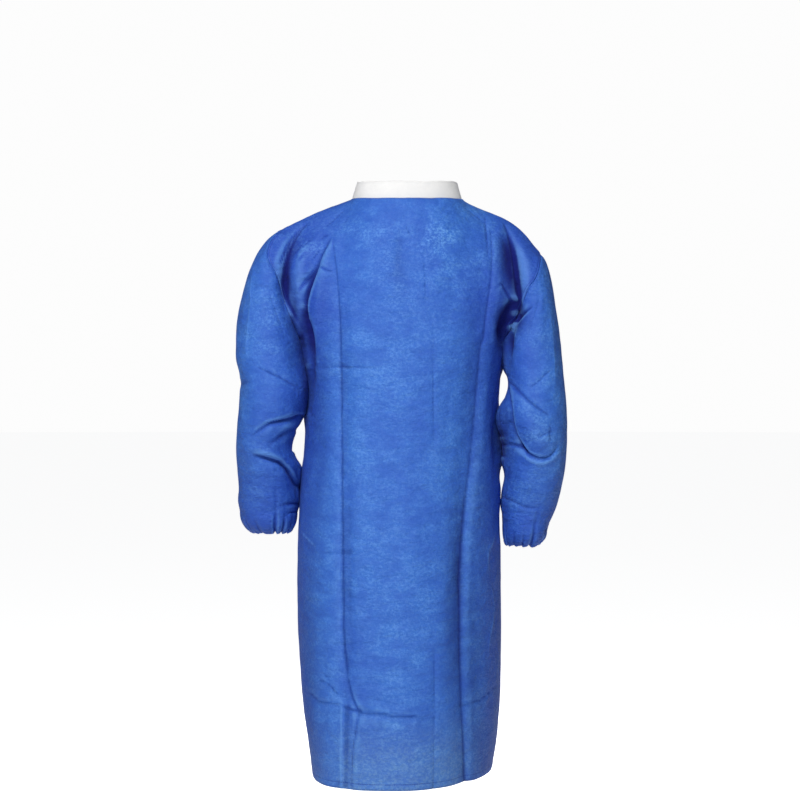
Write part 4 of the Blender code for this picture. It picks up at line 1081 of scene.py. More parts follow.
@dataclass(frozen=True)
class NonwovenFinish:
    """Spunbonded polypropylene cloth: royal blue, cloudy, finely embossed and a little glossy."""

    name: str = "blue_nonwoven"
    deep: Colour = (0.015, 0.064, 0.47, 1)
    bright: Colour = (0.040, 0.180, 0.66, 1)
    # the pale blue of fine fibres, also used for painted glints and painted highlights on ridges
    pale: Colour = (0.160, 0.40, 0.88, 1)
    # a greyer pale blue, laid near the hem
    grey_blue: Colour = (0.20, 0.39, 0.60, 1)
    # the colour of painted shade in creases, deep folds and shadowed gaps
    painted_shade: Colour = (0.001, 0.004, 0.140, 1)
    thread: Colour = (0.012, 0.050, 0.30, 1)
    bond_pitch: float = 0.0016
    crinkle_height: float = 0.0066
    weave_height: float = 0.00022
    rows: tuple[StitchRow, ...] = (
        StitchRow("from_side", 0.0045, True),
        StitchRow("from_top", 0.0045, False),
        StitchRow("from_hem", 0.0110, False),
        StitchRow("from_front", 0.0030, True),
        StitchRow("from_front", 0.0310, True),
    )

    def stitching(self, graph: Graph, place: Socket) -> list[Socket]:
        """Adds the rows of stitches.

        Args:
            graph: The material's graph.
            place: The cloth's flat layout.

        Returns:
            The thread and the dip that it is drawn into, each from 0 to 1.
        """
        across, down, _ = graph.split(place)
        total: list[Socket] = []
        for row in self.rows:
            wanted = {"Away": graph.mark(row.mark), "Along": down if row.down else across, "Offset": row.offset}
            stitches = graph.effect("stitch_row", wanted)
            both = [stitches["Thread"], stitches["Dip"]]
            total = [graph.maths("MAXIMUM", *pair) for pair in zip(total, both)] or both
        return total

    def material(self) -> bpy.types.Material:
        """Builds the material.

        Returns:
            The finished material.
        """
        made, graph, shader = new_material(self.name)
        place = graph.add("ShaderNodeUVMap", uv_map="cloth").outputs[0]
        solid = graph.add("ShaderNodeTexCoord").outputs["Object"]
        fibres = graph.effect("fibre_cloud", {"Place": solid})
        cloud, fleck, fine = fibres["Cloud"], fibres["Fleck"], fibres["Thread"]
        pressed = graph.effect("point_bond", {"Place": place, "Pitch": self.bond_pitch})["Pressed"]
        thread, dip = self.stitching(graph, place)

        patch = graph.step(graph.cloud(graph.stretch(solid, (1.0, 1.0, 0.45)), 8.0, 4.0, 0.55), 0.36, 0.66)
        tone = graph.times(graph.range(cloud, 0.62, 1.0), graph.range(patch, 0.72, 1.0))
        # painted shade towards the sides: it darkens the tone and thins the flecks
        deeper = graph.mark("deeper")
        tone = graph.times(tone, graph.range(deeper, 1.0, 0.22))
        colour = graph.mix(tone, self.deep, self.bright)
        # pale flecks of the fibres together with painted glints, which gather in the painted highlight patches and thin
        # out in the painted edge shade
        share = graph.plus(graph.range(patch, 0.20, 0.50), graph.times(graph.mark("frosted"), 0.55))
        flecks_and_glints = graph.times(graph.times(cloud, fleck), share)
        flecks_and_glints = graph.times(flecks_and_glints, graph.range(deeper, 1.0, 0.5), clamp=True)
        hollow, depth = graph.mark("hollow"), graph.mark("depth")
        for factor, over in (
            (flecks_and_glints, self.pale),
            (graph.times(graph.mark("chalky"), graph.range(fleck, 0.18, 0.50)), self.grey_blue),
            (graph.times(fine, 0.14), self.pale),
            (graph.times(pressed, 0.20), self.deep),
            (graph.times(dip, 0.18), self.deep),
            # painted shade in the hollows of creases
            (graph.times(graph.step(hollow, 0.02, 1.2), 0.42), self.painted_shade),
            # painted shade in deep folds and in the painted shade patches
            (graph.times(depth, 0.95), self.painted_shade),
            # painted highlight on ridges
            (graph.times(graph.step(hollow, -0.05, -1.0), 0.40), self.pale),
            (graph.times(thread, 0.85), self.thread),
        ):
            colour = graph.mix(factor, colour, over)
        rough = graph.plus(graph.range(fleck, 0.60, 0.48), graph.times(fine, 0.06))
        folded = graph.maths("MAXIMUM", depth, graph.step(hollow, 0.1, 1.0))

        crinkle = graph.cloud(graph.stretch(solid, (0.75, 0.75, 1.5)), 36.0, 9.0, 0.64)
        sharp = graph.cloud(graph.stretch(solid, (0.8, 0.8, 1.5)), 30.0, 3.0, 0.5, "RIDGED_MULTIFRACTAL")
        height = graph.plus(crinkle, graph.times(sharp, 0.30))
        coarse = graph.bump({"Height": height, "Strength": 1.0, "Distance": self.crinkle_height})
        height = graph.times(pressed, -0.6)
        for value, by in ((fine, 0.35), (dip, -1.8), (thread, 0.8)):
            height = graph.plus(height, graph.times(value, by))
        weave = {"Height": height, "Strength": 0.6, "Distance": self.weave_height, "Normal": coarse}
        graph.fill(
            shader,
            {
                "Base Color": colour,
                "Roughness": graph.plus(rough, graph.times(folded, 0.35), clamp=True),
                "Specular IOR Level": 0.31,
                "Sheen Weight": 0.03,
                "Sheen Roughness": 0.45,
                "Sheen Tint": (0.45, 0.62, 1.0, 1),
                "Normal": graph.bump(weave),
            },
        )
        return made


@dataclass(frozen=True)
class CollarFinish:
    """Soft white cloth with a fine upright rib."""

    name: str = "white_knit"
    bright: Colour = (0.88, 0.875, 0.86, 1)
    shade: Colour = (0.74, 0.74, 0.745, 1)
    rib_pitch: float = 0.0017
    rib_height: float = 0.00018
    stitch_offset: float = 0.0035

    def material(self) -> bpy.types.Material:
        """Builds the material.

        Returns:
            The finished material.
        """
        made, graph, shader = new_material(self.name)
        place = graph.add("ShaderNodeUVMap", uv_map="cloth").outputs[0]
        across = graph.split(place)[0]
        fibres = graph.effect("fibre_cloud", {"Place": place})
        turn = graph.times(across, 2 * math.pi / self.rib_pitch)
        rib = graph.range(graph.maths("SINE", turn), 0.0, 1.0)
        row = {"Away": graph.mark("from_top"), "Along": across, "Offset": self.stitch_offset}
        dip = graph.effect("stitch_row", row)["Dip"]
        colour = graph.mix(graph.times(fibres["Cloud"], 0.35), self.bright, self.shade)
        colour = graph.mix(graph.times(fibres["Thread"], 0.18), colour, self.shade)
        height = graph.plus(graph.plus(rib, graph.times(fibres["Thread"], 0.4)), graph.times(dip, -2.0))
        graph.fill(
            shader,
            {
                "Base Color": graph.mix(graph.times(dip, 0.30), colour, self.shade),
                "Roughness": graph.range(fibres["Fleck"], 0.92, 0.80),
                "Sheen Weight": 0.15,
                "Sheen Roughness": 0.6,
                "Normal": graph.bump({"Height": height, "Strength": 0.4, "Distance": self.rib_height}),
            },
        )
        return made


@dataclass(frozen=True)
class SnapFinish:
    """Moulded satin plastic, with the fine marks of handling."""

    name: str = "snap_plastic"
    colour: Colour = (0.80, 0.82, 0.86, 1)
    worn: Colour = (0.66, 0.69, 0.75, 1)
    mark_depth: float = 0.00006

    def material(self) -> bpy.types.Material:
        """Builds the material.

        Returns:
            The finished material.
        """
        made, graph, shader = new_material(self.name)
        place = graph.add("ShaderNodeTexCoord").outputs["Object"]
        marks = graph.cloud(graph.stretch(place, (1.0, 1.0, 6.0)), 900.0, 5.0, 0.7)
        tint = graph.step(graph.cloud(place, 160.0, 3.0), 0.45, 0.80)
        graph.fill(
            shader,
            {
                "Base Color": graph.mix(tint, self.colour, self.worn),
                "Roughness": graph.range(marks, 0.26, 0.48),
                "Coat Weight": 0.15,
                "Coat Roughness": 0.2,
                "Normal": graph.bump({"Height": marks, "Strength": 0.25, "Distance": self.mark_depth}),
            },
        )
        return made


# ---- the coat's body


@dataclass(frozen=True)
class Arm:
    """What differs between the two sleeves."""

    side: int
    name: str
    cuts: tuple[Cut, ...]
    armhole: tuple[SeamPoint, ...]
    rise: float  # how far the shoulder seam rises above a straight line
    skew: float  # above 1, it rises more towards the tip
    cuff_top: float
    cuff_end: float
    wrist: tuple[float, float]
    creases: tuple[Crease, ...]
    roundness: float = 2.2  # 2 is an ellipse, and more is squarer

    def tube(self, angle: Array, drop: Array) -> Array:
        """Points of the sleeve. Angle 0 is its outer side, a quarter turn its back and half a turn its inner side.

        Args:
            angle: The angles round it, in radians.
            drop: The drop of each point.

        Returns:
            The points.
        """
        outer, inner = read(self.cuts, "outer", drop), read(self.cuts, "inner", drop)
        across = signed_power(np.cos(angle), 2 / self.roundness)
        out = signed_power(np.sin(angle), 2 / self.roundness)
        x = (outer + inner) / 2 + (outer - inner) / 2 * across
        y = read(self.cuts, "middle", drop) + read(self.cuts, "depth", drop) * out
        return np.stack([self.side * x, y, -drop * np.ones_like(x)], axis=-1)

    def seam(self, angle: Array) -> Array:
        """Points of the armhole's seam, which lie on the sleeve's own tube.

        Args:
            angle: The angles round the sleeve, in radians.

        Returns:
            The points.
        """
        turn = np.abs(np.degrees(np.remainder(angle + math.pi, 2 * math.pi) - math.pi))
        turn = np.where(np.isclose(np.abs(angle), math.pi), 180.0, turn)
        return self.tube(angle, read(self.armhole, "drop", turn, "turn"))


LEFT_ARM = Arm(
    side=1, name="left", cuts=LEFT_CUTS, armhole=LEFT_ARMHOLE,
    rise=0.004, skew=1.0, cuff_top=0.582, cuff_end=0.621, wrist=(0.242, -0.040),
    creases=LEFT_SLEEVE_CREASES + LEFT_FRONT_CREASES,
)
RIGHT_ARM = Arm(
    side=-1, name="right", cuts=RIGHT_CUTS, armhole=RIGHT_ARMHOLE,
    rise=0.021, skew=1.6, cuff_top=0.604, cuff_end=0.645, wrist=(0.227, -0.044),
    creases=RIGHT_SLEEVE_CREASES + RIGHT_FRONT_CREASES,
)


@dataclass
class Body:
    """The back and the two fronts."""

    hem_drop: float = 1.063
    underarm_drop: float = 0.268
    overlap: float = 0.036
    neck_shift: float = -0.010
    neck_half_width: float = 0.104
    neck_back: float = 0.074
    neck_front: float = 0.088
    neck_back_drop: float = 0.007
    neck_side_drop: float = 0.003
    neck_front_drop: float = 0.062
    neck_share: float = 0.36
    tip_share: float = 0.76
    front_roundness: float = 2.5
    arch: float = 1.75  # how soon the cloth drops below the shoulder
    side_pull: float = 4  # how near the armhole its cloth is drawn to the sleeve
    lift: float = 0.0018  # how far the left front lies over the right one
    lap_shares: tuple[float, ...] = (0, 0.06, 0.12, 0.18)  # how far from the centre that fades
    lap_lifts: tuple[float, ...] = (1, 1, 0.35, 0)
    back_flat: tuple[float, float] = (0.64, 1.10)
    front_flat: tuple[float, float] = (0.34, 1.10)
    ring_points: int = 193
    neck_steps: int = 34
    shoulder_steps: int = 61
    crossing_steps: int = 6
    armhole_steps: int = 80
    body_steps: int = 170
    over: Array = field(init=False)  # the share of the lift at each column of a front

    def ring(self, side: int, face: Face, shares: Array, drop: float) -> Array:
        """Points of the body's ring at one level.

        Args:
            side: 1 on the wearer's left and -1 on the right.
            face: Behind or in front.
            shares: How far along the cloth, from 0 at the centre to 1 at the side seam.
            drop: The level.

        Returns:
            The points.
        """
        angle = np.linspace(0, math.pi / 2, self.ring_points)
        seam = read(BODY_LEVELS, "seam", drop)
        width = read(BODY_LEVELS, "left" if side > 0 else "right", drop)
        if face is Face.BEHIND:
            power = 2 / read(BODY_LEVELS, "round_left" if side > 0 else "round_right", drop)
            reach = read(BODY_LEVELS, "back", drop)
        else:
            power = 2 / self.front_roundness
            reach = read(BODY_LEVELS, "front", drop)
            width = width + read(BODY_LEVELS, "flare", drop) * np.sin(2 * angle)
        across = width * np.sin(angle) ** power
        out = seam + (reach - seam) * np.clip(np.cos(angle), 0, 1) ** power
        length = np.concatenate([[0], np.cumsum(np.hypot(np.diff(across), np.diff(out)))])
        at = shares * length[-1]
        x, y = side * np.interp(at, length, across), np.interp(at, length, out)
        return np.stack([x, y, np.full_like(x, -drop)], axis=-1)

    def neck(self, side: int, face: Face, part: Array) -> Array:
        """Points of the neck edge.

        Args:
            side: 1 on the wearer's left and -1 on the right.
            face: Behind or in front.
            part: From 0 at the centre back or front to 1 at the side.

        Returns:
            The points.
        """
        angle = part * math.pi / 2
        behind = face is Face.BEHIND
        reach = self.neck_back if behind else -self.neck_front
        low = self.neck_back_drop if behind else self.neck_front_drop
        drop = low + (self.neck_side_drop - low) * np.sin(angle) ** 2
        across = self.neck_shift + side * self.neck_half_width * np.sin(angle)
        return np.stack([across, reach * np.cos(angle), -drop], axis=-1)

    def top_edge(self, arm: Arm, side: int, face: Face, shares: Array) -> Array:
        """Points of a half panel's top: the neck edge, and then the shoulder seam out to the tip.

        Args:
            arm: The arm of the half panel.
            side: The side that the points lie on, which differs from the arm's where the fronts cross.
            face: Behind or in front.
            shares: From 0 at the centre to 1 at the armhole.

        Returns:
            The points.
        """
        neck = self.neck(arm.side, face, np.minimum(shares / self.neck_share, 1))
        part = np.clip((shares - self.neck_share) / (1 - self.neck_share), 0, 1)[:, None]
        start, end = self.neck(arm.side, face, np.array(1.0)), arm.seam(np.array(0.0))
        rise = arm.rise * np.sin(math.pi * part**arm.skew) * np.array([0, 0, 1])
        top = np.where(shares[:, None] <= self.neck_share, neck, start + (end - start) * part + rise)
        if side != arm.side:
            top[:, 0] = 2 * self.neck_shift - top[:, 0]
        return top

    def yoke(self, arm: Arm, side: int, face: Face, shares: Array, down: float) -> Array:
        """Points above the underarm.

        Args:
            arm: The arm of the half panel.
            side: The side that the points lie on.
            face: Behind or in front.
            shares: From 0 at the centre to 1 at the armhole.
            down: From 0 at the panel's top to 1 at the underarm's level.

        Returns:
            The points.
        """
        curve = (1 - (1 - down) ** self.arch) ** (1 / self.arch)
        blend = np.array([float(ease(down)), curve, down])
        lost = (1 - self.tip_share) * (1 - down**3)

        def plain(at: Array) -> Array:
            """The points without the pull of the armhole."""
            top = self.top_edge(arm, side, face, at)
            return top + (self.ring(side, face, at - lost * at**3, self.underarm_drop) - top) * blend

        points = plain(shares)
        if side != arm.side:
            return points
        pull = arm.seam(np.array(face.value * math.pi * down)) - plain(np.array([1.0]))[0]
        return points + pull * (shares**self.side_pull)[:, None]

    def columns(self, arm: Arm, side: int, face: Face, shares: Array) -> Array:
        """The cloth of a half panel, from its top to the hem.

        Args:
            arm: The arm of the half panel.
            side: The side that the points lie on.
            face: Behind or in front.
            shares: From 0 at the centre to 1 at the side.

        Returns:
            The points, row by row.
        """
        rows = [self.yoke(arm, side, face, shares, r / self.armhole_steps) for r in range(self.armhole_steps + 1)]
        for r in range(1, self.body_steps + 1):
            drop = self.underarm_drop + (self.hem_drop - self.underarm_drop) * r / self.body_steps
            rows.append(self.ring(side, face, shares, drop))
        return np.array(rows)

    def panels(self, left: Arm, right: Arm) -> dict[str, Cloth]:
        """Lays out the three panels, with columns that run from the left front round the back.

        Args:
            left: The left arm.
            right: The right arm.

        Returns:
            The cloths by name.
        """
        shares = np.concatenate(
            [
                np.linspace(0, self.neck_share, self.neck_steps + 1),
                np.linspace(self.neck_share, 1, self.shoulder_steps + 1)[1:],
            ]
        )
        edge = self.overlap / 2 / self.neck_half_width * self.neck_share * 2 / math.pi
        crossing = np.linspace(edge, 0, self.crossing_steps + 1)[:-1]
        half = {}
        for arm in (left, right):
            crossed = self.columns(arm, -arm.side, Face.FRONT, crossing)
            own = self.columns(arm, arm.side, Face.FRONT, shares)
            half[arm.side, -1] = np.concatenate([crossed, own], axis=1)
            half[arm.side, 1] = self.columns(arm, arm.side, Face.BEHIND, shares)
        panels = {
            "front_left": Cloth("front_left_cloth", half[1, -1]),
            "back": Cloth("back_cloth", np.concatenate([half[1, 1][:, ::-1], half[-1, 1][:, 1:]], axis=1)),
            "front_right": Cloth("front_right_cloth", half[-1, -1][:, ::-1]),
        }
        for cloth in panels.values():
            cloth.ease_corners()
        self.over = np.interp(np.concatenate([-crossing, shares]), self.lap_shares, self.lap_lifts)
        for name, flip in (("front_left", 1), ("front_right", -1)):
            cloth = panels[name]
            across = cloth.across[:, ::flip]
            cloth.marks["from_front"] = np.abs(across - across[:, :1])[:, ::flip]
            cloth.marks["from_side"] = np.abs(across - across[:, -1:])[:, ::flip]
        return panels

    def seams(self, left: Arm, right: Arm) -> list[tuple[SeamSpot, ...]]:
        """Lists the points that meet at the shoulder, armhole and side seams.

        Args:
            left: The left arm.
            right: The right arm.

        Returns:
            The groups of points that meet.
        """
        side = self.neck_steps + self.shoulder_steps
        groups: list[tuple[SeamSpot, ...]] = []
        for arm in (left, right):
            front, sleeve = f"front_{arm.name}", f"sleeve_{arm.name}"
            centres = {"back": (side, -arm.side), front: (self.crossing_steps if arm.side > 0 else side, arm.side)}

            def on(piece: str, row: int, station: int) -> SeamSpot:
                """The point of a panel at a station counted from its centre."""
                centre, way = centres[piece]
                return SeamSpot(piece, row, centre + way * station)

            for station in range(self.neck_steps, side):
                groups.append((on(front, 0, station), on("back", 0, station)))
            groups.append((on(front, 0, side), on("back", 0, side), SeamSpot(sleeve, 0, 0)))
            for row in range(1, self.armhole_steps):
                groups.append((on(front, row, side), SeamSpot(sleeve, 0, -arm.side * row)))
                groups.append((on("back", row, side), SeamSpot(sleeve, 0, arm.side * row)))
            for row in range(self.armhole_steps, self.armhole_steps + self.body_steps + 1):
                groups.append((on(front, row, side), on("back", row, side)))
        return groups


@dataclass
class Sleeve:
    """A sleeve with its gathered end."""

    arm: Arm
    steps_round: int = 160
    steps_down: int = 150
    cuff_steps: int = 44
    cuff_half_width: float = 0.028
    cuff_half_depth: float = 0.030
    cuff_curve: float = 0.98  # how far out on a quarter circle the gathered end curves in
    gathers: int = 13
    gather_height: float = 0.0068
    ripple_height: float = 0.0010
    flat: tuple[float, float] = (0.44, 0.58)

    def cloth(self) -> Cloth:
        """Lays out the sleeve's cloth from the armhole to its gathered end.

        Returns:
            The cloth, not yet creased.
        """
        arm = self.arm
        angle = arm.side * 2 * math.pi * np.arange(self.steps_round) / self.steps_round
        start = -arm.seam(angle)[:, 2]
        rows = []
        for r in range(self.steps_down + 1):
            rows.append(arm.tube(angle, start + (arm.cuff_top - start) * r / self.steps_down))
        outer, inner, middle, depth = (
            float(read(arm.cuts, key, arm.cuff_top)) for key in ("outer", "inner", "middle", "depth")
        )
        for r in range(1, self.cuff_steps + 1):
            t = r / self.cuff_steps
            drawn = 1 - math.sqrt(1 - (self.cuff_curve * t) ** 2)
            power = 2 / (arm.roundness * (1 - t) + 2 * t)
            half_width = (outer - inner) / 2 * (1 - drawn) + self.cuff_half_width * drawn
            half_depth = depth * (1 - drawn) + self.cuff_half_depth * drawn
            x = (outer + inner) / 2 * (1 - drawn) + arm.wrist[0] * drawn
            x = x + half_width * signed_power(np.cos(angle), power)
            y = middle * (1 - drawn) + arm.wrist[1] * drawn + half_depth * signed_power(np.sin(angle), power)
            z = -arm.cuff_top - (arm.cuff_end - arm.cuff_top) * t
            rows.append(np.stack([arm.side * x, y, np.full_like(x, z)], axis=-1))
        return Cloth(f"sleeve_{arm.name}_cloth", np.array(rows), closed=True, width=self.flat[0])

    def gather(self, cloth: Cloth) -> None:
        """Draws the end of the sleeve into uneven gathers.

        Args:
            cloth: The sleeve's cloth.
        """
        count = cloth.points.shape[1]
        turn = 2 * math.pi * np.arange(count) / count
        phase = self.gathers * turn + 1.3 * np.sin(2 * turn + self.arm.side) + 0.9 * np.sin(5 * turn + 2)
        valley = np.exp(-(1 + np.cos(phase)) * 2.2)
        deep = 0.66 + 0.34 * np.sin(3 * turn + 1.7 * self.arm.side)
        reach = 0.55 + 0.38 * np.sin(7 * turn + self.arm.side) + 0.22 * np.sin(4 * turn)
        rows = np.arange(len(cloth.points))
        t = (rows - self.steps_down) / self.cuff_steps
        grown = ease((t[:, None] + reach * 0.9) / (1 + reach * 0.9)) ** 1.5
        puff = (0.35 - valley) * deep * self.gather_height
        cloth.heights += grown * puff
        cloth.points[..., 2] += self.ripple_height * np.sin(phase + 0.6) * past(t[:, None], 0.6, 0.4)


@dataclass
class Collar:
    """The stand collar, which rises inside the neck edge and is open at the front."""

    body: Body
    rows: int = 26
    steps: int = 62
    thickness: float = 0.0014
    clearance: float = 0.0021
    tuck: float = 0.007
    height: float = 0.031
    lean: float = 0.009
    opening: float = 0.006
    waves: tuple[tuple[float, int, float], ...] = ((0.0007, 5, 0.5), (0.0004, 11, 1.2), (0.0002, 23, 0))
    slack_share: float = 0.9
    least_part: float = 0.004  # how near to a front edge the next column may stand
    flat: tuple[float, float] = (0.55, 0.038)

    def cloth(self) -> Cloth:
        """Lays out the collar, from the left front edge round the back.

        Returns:
            The collar's cloth.
        """
        first = self.opening / 2 / self.body.neck_half_width * 2 / math.pi
        parts = np.linspace(0, 1, self.steps + 1)
        front = np.concatenate([[first], parts[parts > first + self.least_part]])
        edges = [self.body.neck(1, Face.FRONT, front), self.body.neck(1, Face.BEHIND, parts[-2::-1])]
        edges += [self.body.neck(-1, Face.BEHIND, parts[1:]), self.body.neck(-1, Face.FRONT, front[-2::-1])]
        edge = np.concatenate(edges)
        centre = np.stack([np.full(len(edge), self.body.neck_shift), np.zeros(len(edge)), edge[:, 2]], axis=1)
        inward = unit(centre - edge)
        turn = np.arctan2(edge[:, 1], edge[:, 0] - self.body.neck_shift)
        slack = sum(height * np.sin(count * turn + start) for height, count, start in self.waves)
        rows = []
        for r in range(self.rows + 1):
            rise = self.height - (self.height + self.tuck) * r / self.rows
            up = max(rise, 0) / self.height
            lean = self.clearance + self.lean * up
            point = edge + inward * (lean + (slack * up**2)[:, None] * self.slack_share) + np.array([0, 0, rise])
            point[:, 2] += self.slack_share * slack * up
            rows.append(point)
        return Cloth("collar_cloth", np.array(rows))


@dataclass
class SnapRow:
    """The snaps that close the fronts."""

    count: int = 5
    first: float = 0.095
    pitch: float = 0.150
    radius: float = 0.0062
    cap_height: float = 0.0021
    cap_dimple: float = 0.0006
    stud_share: float = 0.84  # of the cap's radius
    stud_height: float = 0.0010
    stud_dimple: float = 0.0003
    gap: float = 0.0004

    def disc(self, name: str, radius: float, height: float, dimple: float) -> bpy.types.Object:
        """Models a round snap on the ground, with a rolled rim and a pressed middle.

        Args:
            name: The object's name.
            radius: Its radius.
            height: How high its rim stands.
            dimple: How far its middle is pressed in.

        Returns:
            The object, with its foot at the origin.
        """
        bpy.ops.object.select_all(action="DESELECT")
        foot = height * 0.6
        bpy.ops.mesh.primitive_cylinder_add(vertices=40, radius=radius, depth=foot, location=(0, 0, height * 0.3))
        snap = bpy.context.object
        snap.name = name
        snap.data.name = name
        bpy.ops.object.mode_set(mode="EDIT")
        self.pick_top(snap, foot)
        for share, depth in ((0.16, height * 0.4), (0.12, 0), (0.10, -dimple), (0.28, 0), (0.12, dimple * 0.7)):
            bpy.ops.mesh.inset(thickness=radius * share, depth=depth)
        bpy.ops.object.mode_set(mode="OBJECT")
        bpy.ops.object.transform_apply(location=True, rotation=True, scale=True)
        bevel = snap.modifiers.new("rounding", "BEVEL")
        bevel.width = height * 0.12
        bevel.segments = 2
        bevel.limit_method = "ANGLE"
        bevel.angle_limit = math.radians(25)
        bpy.ops.object.modifier_apply(modifier=bevel.name)
        bpy.ops.object.shade_smooth_by_angle(angle=math.radians(35))
        return snap

    def pick_top(self, snap: bpy.types.Object, level: float) -> None:
        """Selects the faces at the top of a shape that is being edited.

        Args:
            snap: The object being edited.
            level: How high its top is.
        """
        mesh = bmesh.from_edit_mesh(snap.data)
        for part in (*mesh.verts, *mesh.edges, *mesh.faces):
            part.select_set(False)
        for face in mesh.faces:
            if face.normal.z > 0.9 and abs(face.calc_center_median().z - level) < 1e-4:
                face.select_set(True)
        bmesh.update_edit_mesh(snap.data)

    def seat(self, cloth: Cloth, column: int, drop: float) -> tuple[Vector, Vector]:
        """Finds where a snap sits.

        Args:
            cloth: The front that it sits on.
            column: The column of the cloth's points.
            drop: Its drop below the origin.

        Returns:
            The point and the cloth's normal there.
        """
        points, normals = cloth.points[:, column], cloth.normals[:, column]
        point = [float(np.interp(drop, -points[:, 2], points[:, k])) for k in range(3)]
        normal = [float(np.interp(drop, -points[:, 2], normals[:, k])) for k in range(3)]
        return Vector(point), Vector(normal).normalized()

    def build(self, over: Cloth, under: Cloth, station: int, material: bpy.types.Material) -> None:
        """Models one cap and one stud, and copies them down the fronts.

        Args:
            over: The outer front.
            under: The inner front.
            station: The column of the centre, counted from the crossing edge.
            material: The plastic.
        """
        cap = self.disc("snap_cap_pattern", self.radius, self.cap_height, self.cap_dimple)
        stud = self.disc("snap_stud_pattern", self.radius * self.stud_share, self.stud_height, self.stud_dimple)
        for i in range(self.count):
            drop = self.first + self.pitch * i
            places = (
                (cap, f"snap_cap_{i + 1}", *self.seat(over, station, drop), 1, self.gap),
                (stud, f"snap_stud_{i + 1}", *self.seat(under, -1 - station, drop), -1, self.gap + SHELL),
            )
            for pattern, node, point, normal, way, gap in places:
                snap = bpy.data.objects.new(f"{node}_plastic", pattern.data.copy())
                bpy.context.scene.collection.objects.link(snap)
                turn = (normal * way).to_track_quat("Z", "Y").to_matrix().to_4x4()
                snap.data.transform(Matrix.Translation(point + normal * way * gap) @ turn)
                snap.data.materials.clear()
                snap.data.materials.append(material)
                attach(snap, "root")
                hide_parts(node)
                LOG.info("%s: %d faces", snap.name, len(snap.data.polygons))
        for pattern in (cap, stud):
            bpy.data.objects.remove(pattern)


# ---- the studio


class Lamp(NamedTuple):
    """A soft square light that faces the coat."""

    name: str
    place: Triple
    size: float
    watts: float
    glossy: bool  # whether it shows in reflections


@dataclass
class Studio:
    """A plain pale floor, soft lights and the camera straight behind the coat."""

    eye: Triple = (0.0028, VIEW_DISTANCE, -VIEW_DROP)
    half_view: float = 0.7407
    aim: Triple = (0, 0, -0.45)
    floor_drop: float = 1.46
    floor_radius: float = 60
    floor_glow: float = 0.87
    lamps: tuple[Lamp, ...] = (
        Lamp("key_light", (0.75, 3.1, 1.9), 0.8, 128, True),
        Lamp("fill_light", (-1.0, 3.4, -0.3), 1.6, 7, True),
        Lamp("front_key_light", (-1.0, -3.5, 0.9), 0.9, 88, False),
        Lamp("front_fill_light", (1.0, -3.5, -0.2), 1.6, 16, False),
    )

    def build(self) -> None:
        """Builds the floor, the lights, the surroundings and the camera."""
        self.floor()
        self.surroundings()
        for lamp in self.lamps:
            self.hang(lamp)
        self.camera()
        bpy.context.scene.view_settings.view_transform = "Standard"

    def floor(self) -> None:
        """Lays a wide floor, which glows where the camera sees it."""
        bpy.ops.object.select_all(action="DESELECT")
        place = (0, 0, -self.floor_drop)
        bpy.ops.mesh.primitive_circle_add(vertices=96, radius=self.floor_radius, fill_type="NGON", location=place)
        floor = bpy.context.object
        floor.name = "studio_floor"
        bpy.ops.object.transform_apply(location=True, rotation=True, scale=True)
        made, graph, shader = new_material("studio_floor")
        glow = graph.times(graph.add("ShaderNodeLightPath").outputs["Is Camera Ray"], self.floor_glow)
        graph.fill(
            shader,
            {
                "Base Color": (0.90, 0.90, 0.90, 1),
                "Roughness": 0.9,
                "Specular IOR Level": 0.1,
                "Emission Color": (1, 1, 1, 1),
                "Emission Strength": glow,
            },
        )
        floor.data.materials.append(made)

    def surroundings(self) -> None:
        """Sets an even, near-white surrounding that lights the coat only a little."""
        world = bpy.data.worlds.new("studio")
        world.use_nodes = True
        bpy.context.scene.world = world
        graph = Graph(world.node_tree)
        ground = world.node_tree.nodes["Background"]
        graph.fill(ground, {"Color": (0.94, 0.96, 1.0, 1), "Strength": 0.10})
        seen = graph.add("ShaderNodeBackground", {"Color": (1, 1, 1, 1), "Strength": 0.98})
        camera = graph.add("ShaderNodeLightPath").outputs["Is Camera Ray"]
        choose = graph.add("ShaderNodeMixShader", {0: camera, 1: ground.outputs[0], 2: seen.outputs[0]})
        graph.put(world.node_tree.nodes["World Output"].inputs["Surface"], choose.outputs[0])

    def hang(self, lamp: Lamp) -> None:
        """Hangs a light.

        Args:
            lamp: The light.
        """
        data = bpy.data.lights.new(lamp.name, "AREA")
        data.size = lamp.size
        data.energy = lamp.watts
        light = bpy.data.objects.new(lamp.name, data)
        light.location = lamp.place
        light.visible_glossy = lamp.glossy
        towards = Vector(self.aim) - Vector(lamp.place)
        light.rotation_euler = towards.to_track_quat("-Z", "Y").to_euler()
        bpy.context.scene.collection.objects.link(light)

    def camera(self) -> None:
        """Sets the camera straight behind the coat, at mid height."""
        data = bpy.data.cameras.new("camera")
        data.sensor_fit = "HORIZONTAL"
        data.angle = 2 * math.atan(self.half_view / self.eye[1])
        eye = bpy.data.objects.new("camera", data)
        eye.location = self.eye
        eye.rotation_euler = (math.pi / 2, 0, math.pi)
        bpy.context.scene.collection.objects.link(eye)
        bpy.context.scene.camera = eye


# ---- putting it together


class Ridge(NamedTuple):
    """A ridge along an edge, or a groove where its height is below 0, in metres."""

    height: float
    inset: float
    width: float

    def rise(self, away: Array) -> Array:
        """How far it moves the cloth out at these distances from the edge."""
        return self.height * np.exp(-(((away - self.inset) / self.width) ** 2))


class Held(Enum):
    """How a cloth is held."""

    HUNG = "hung"
    GATHERED = "gathered"
    FOLDED = "folded"


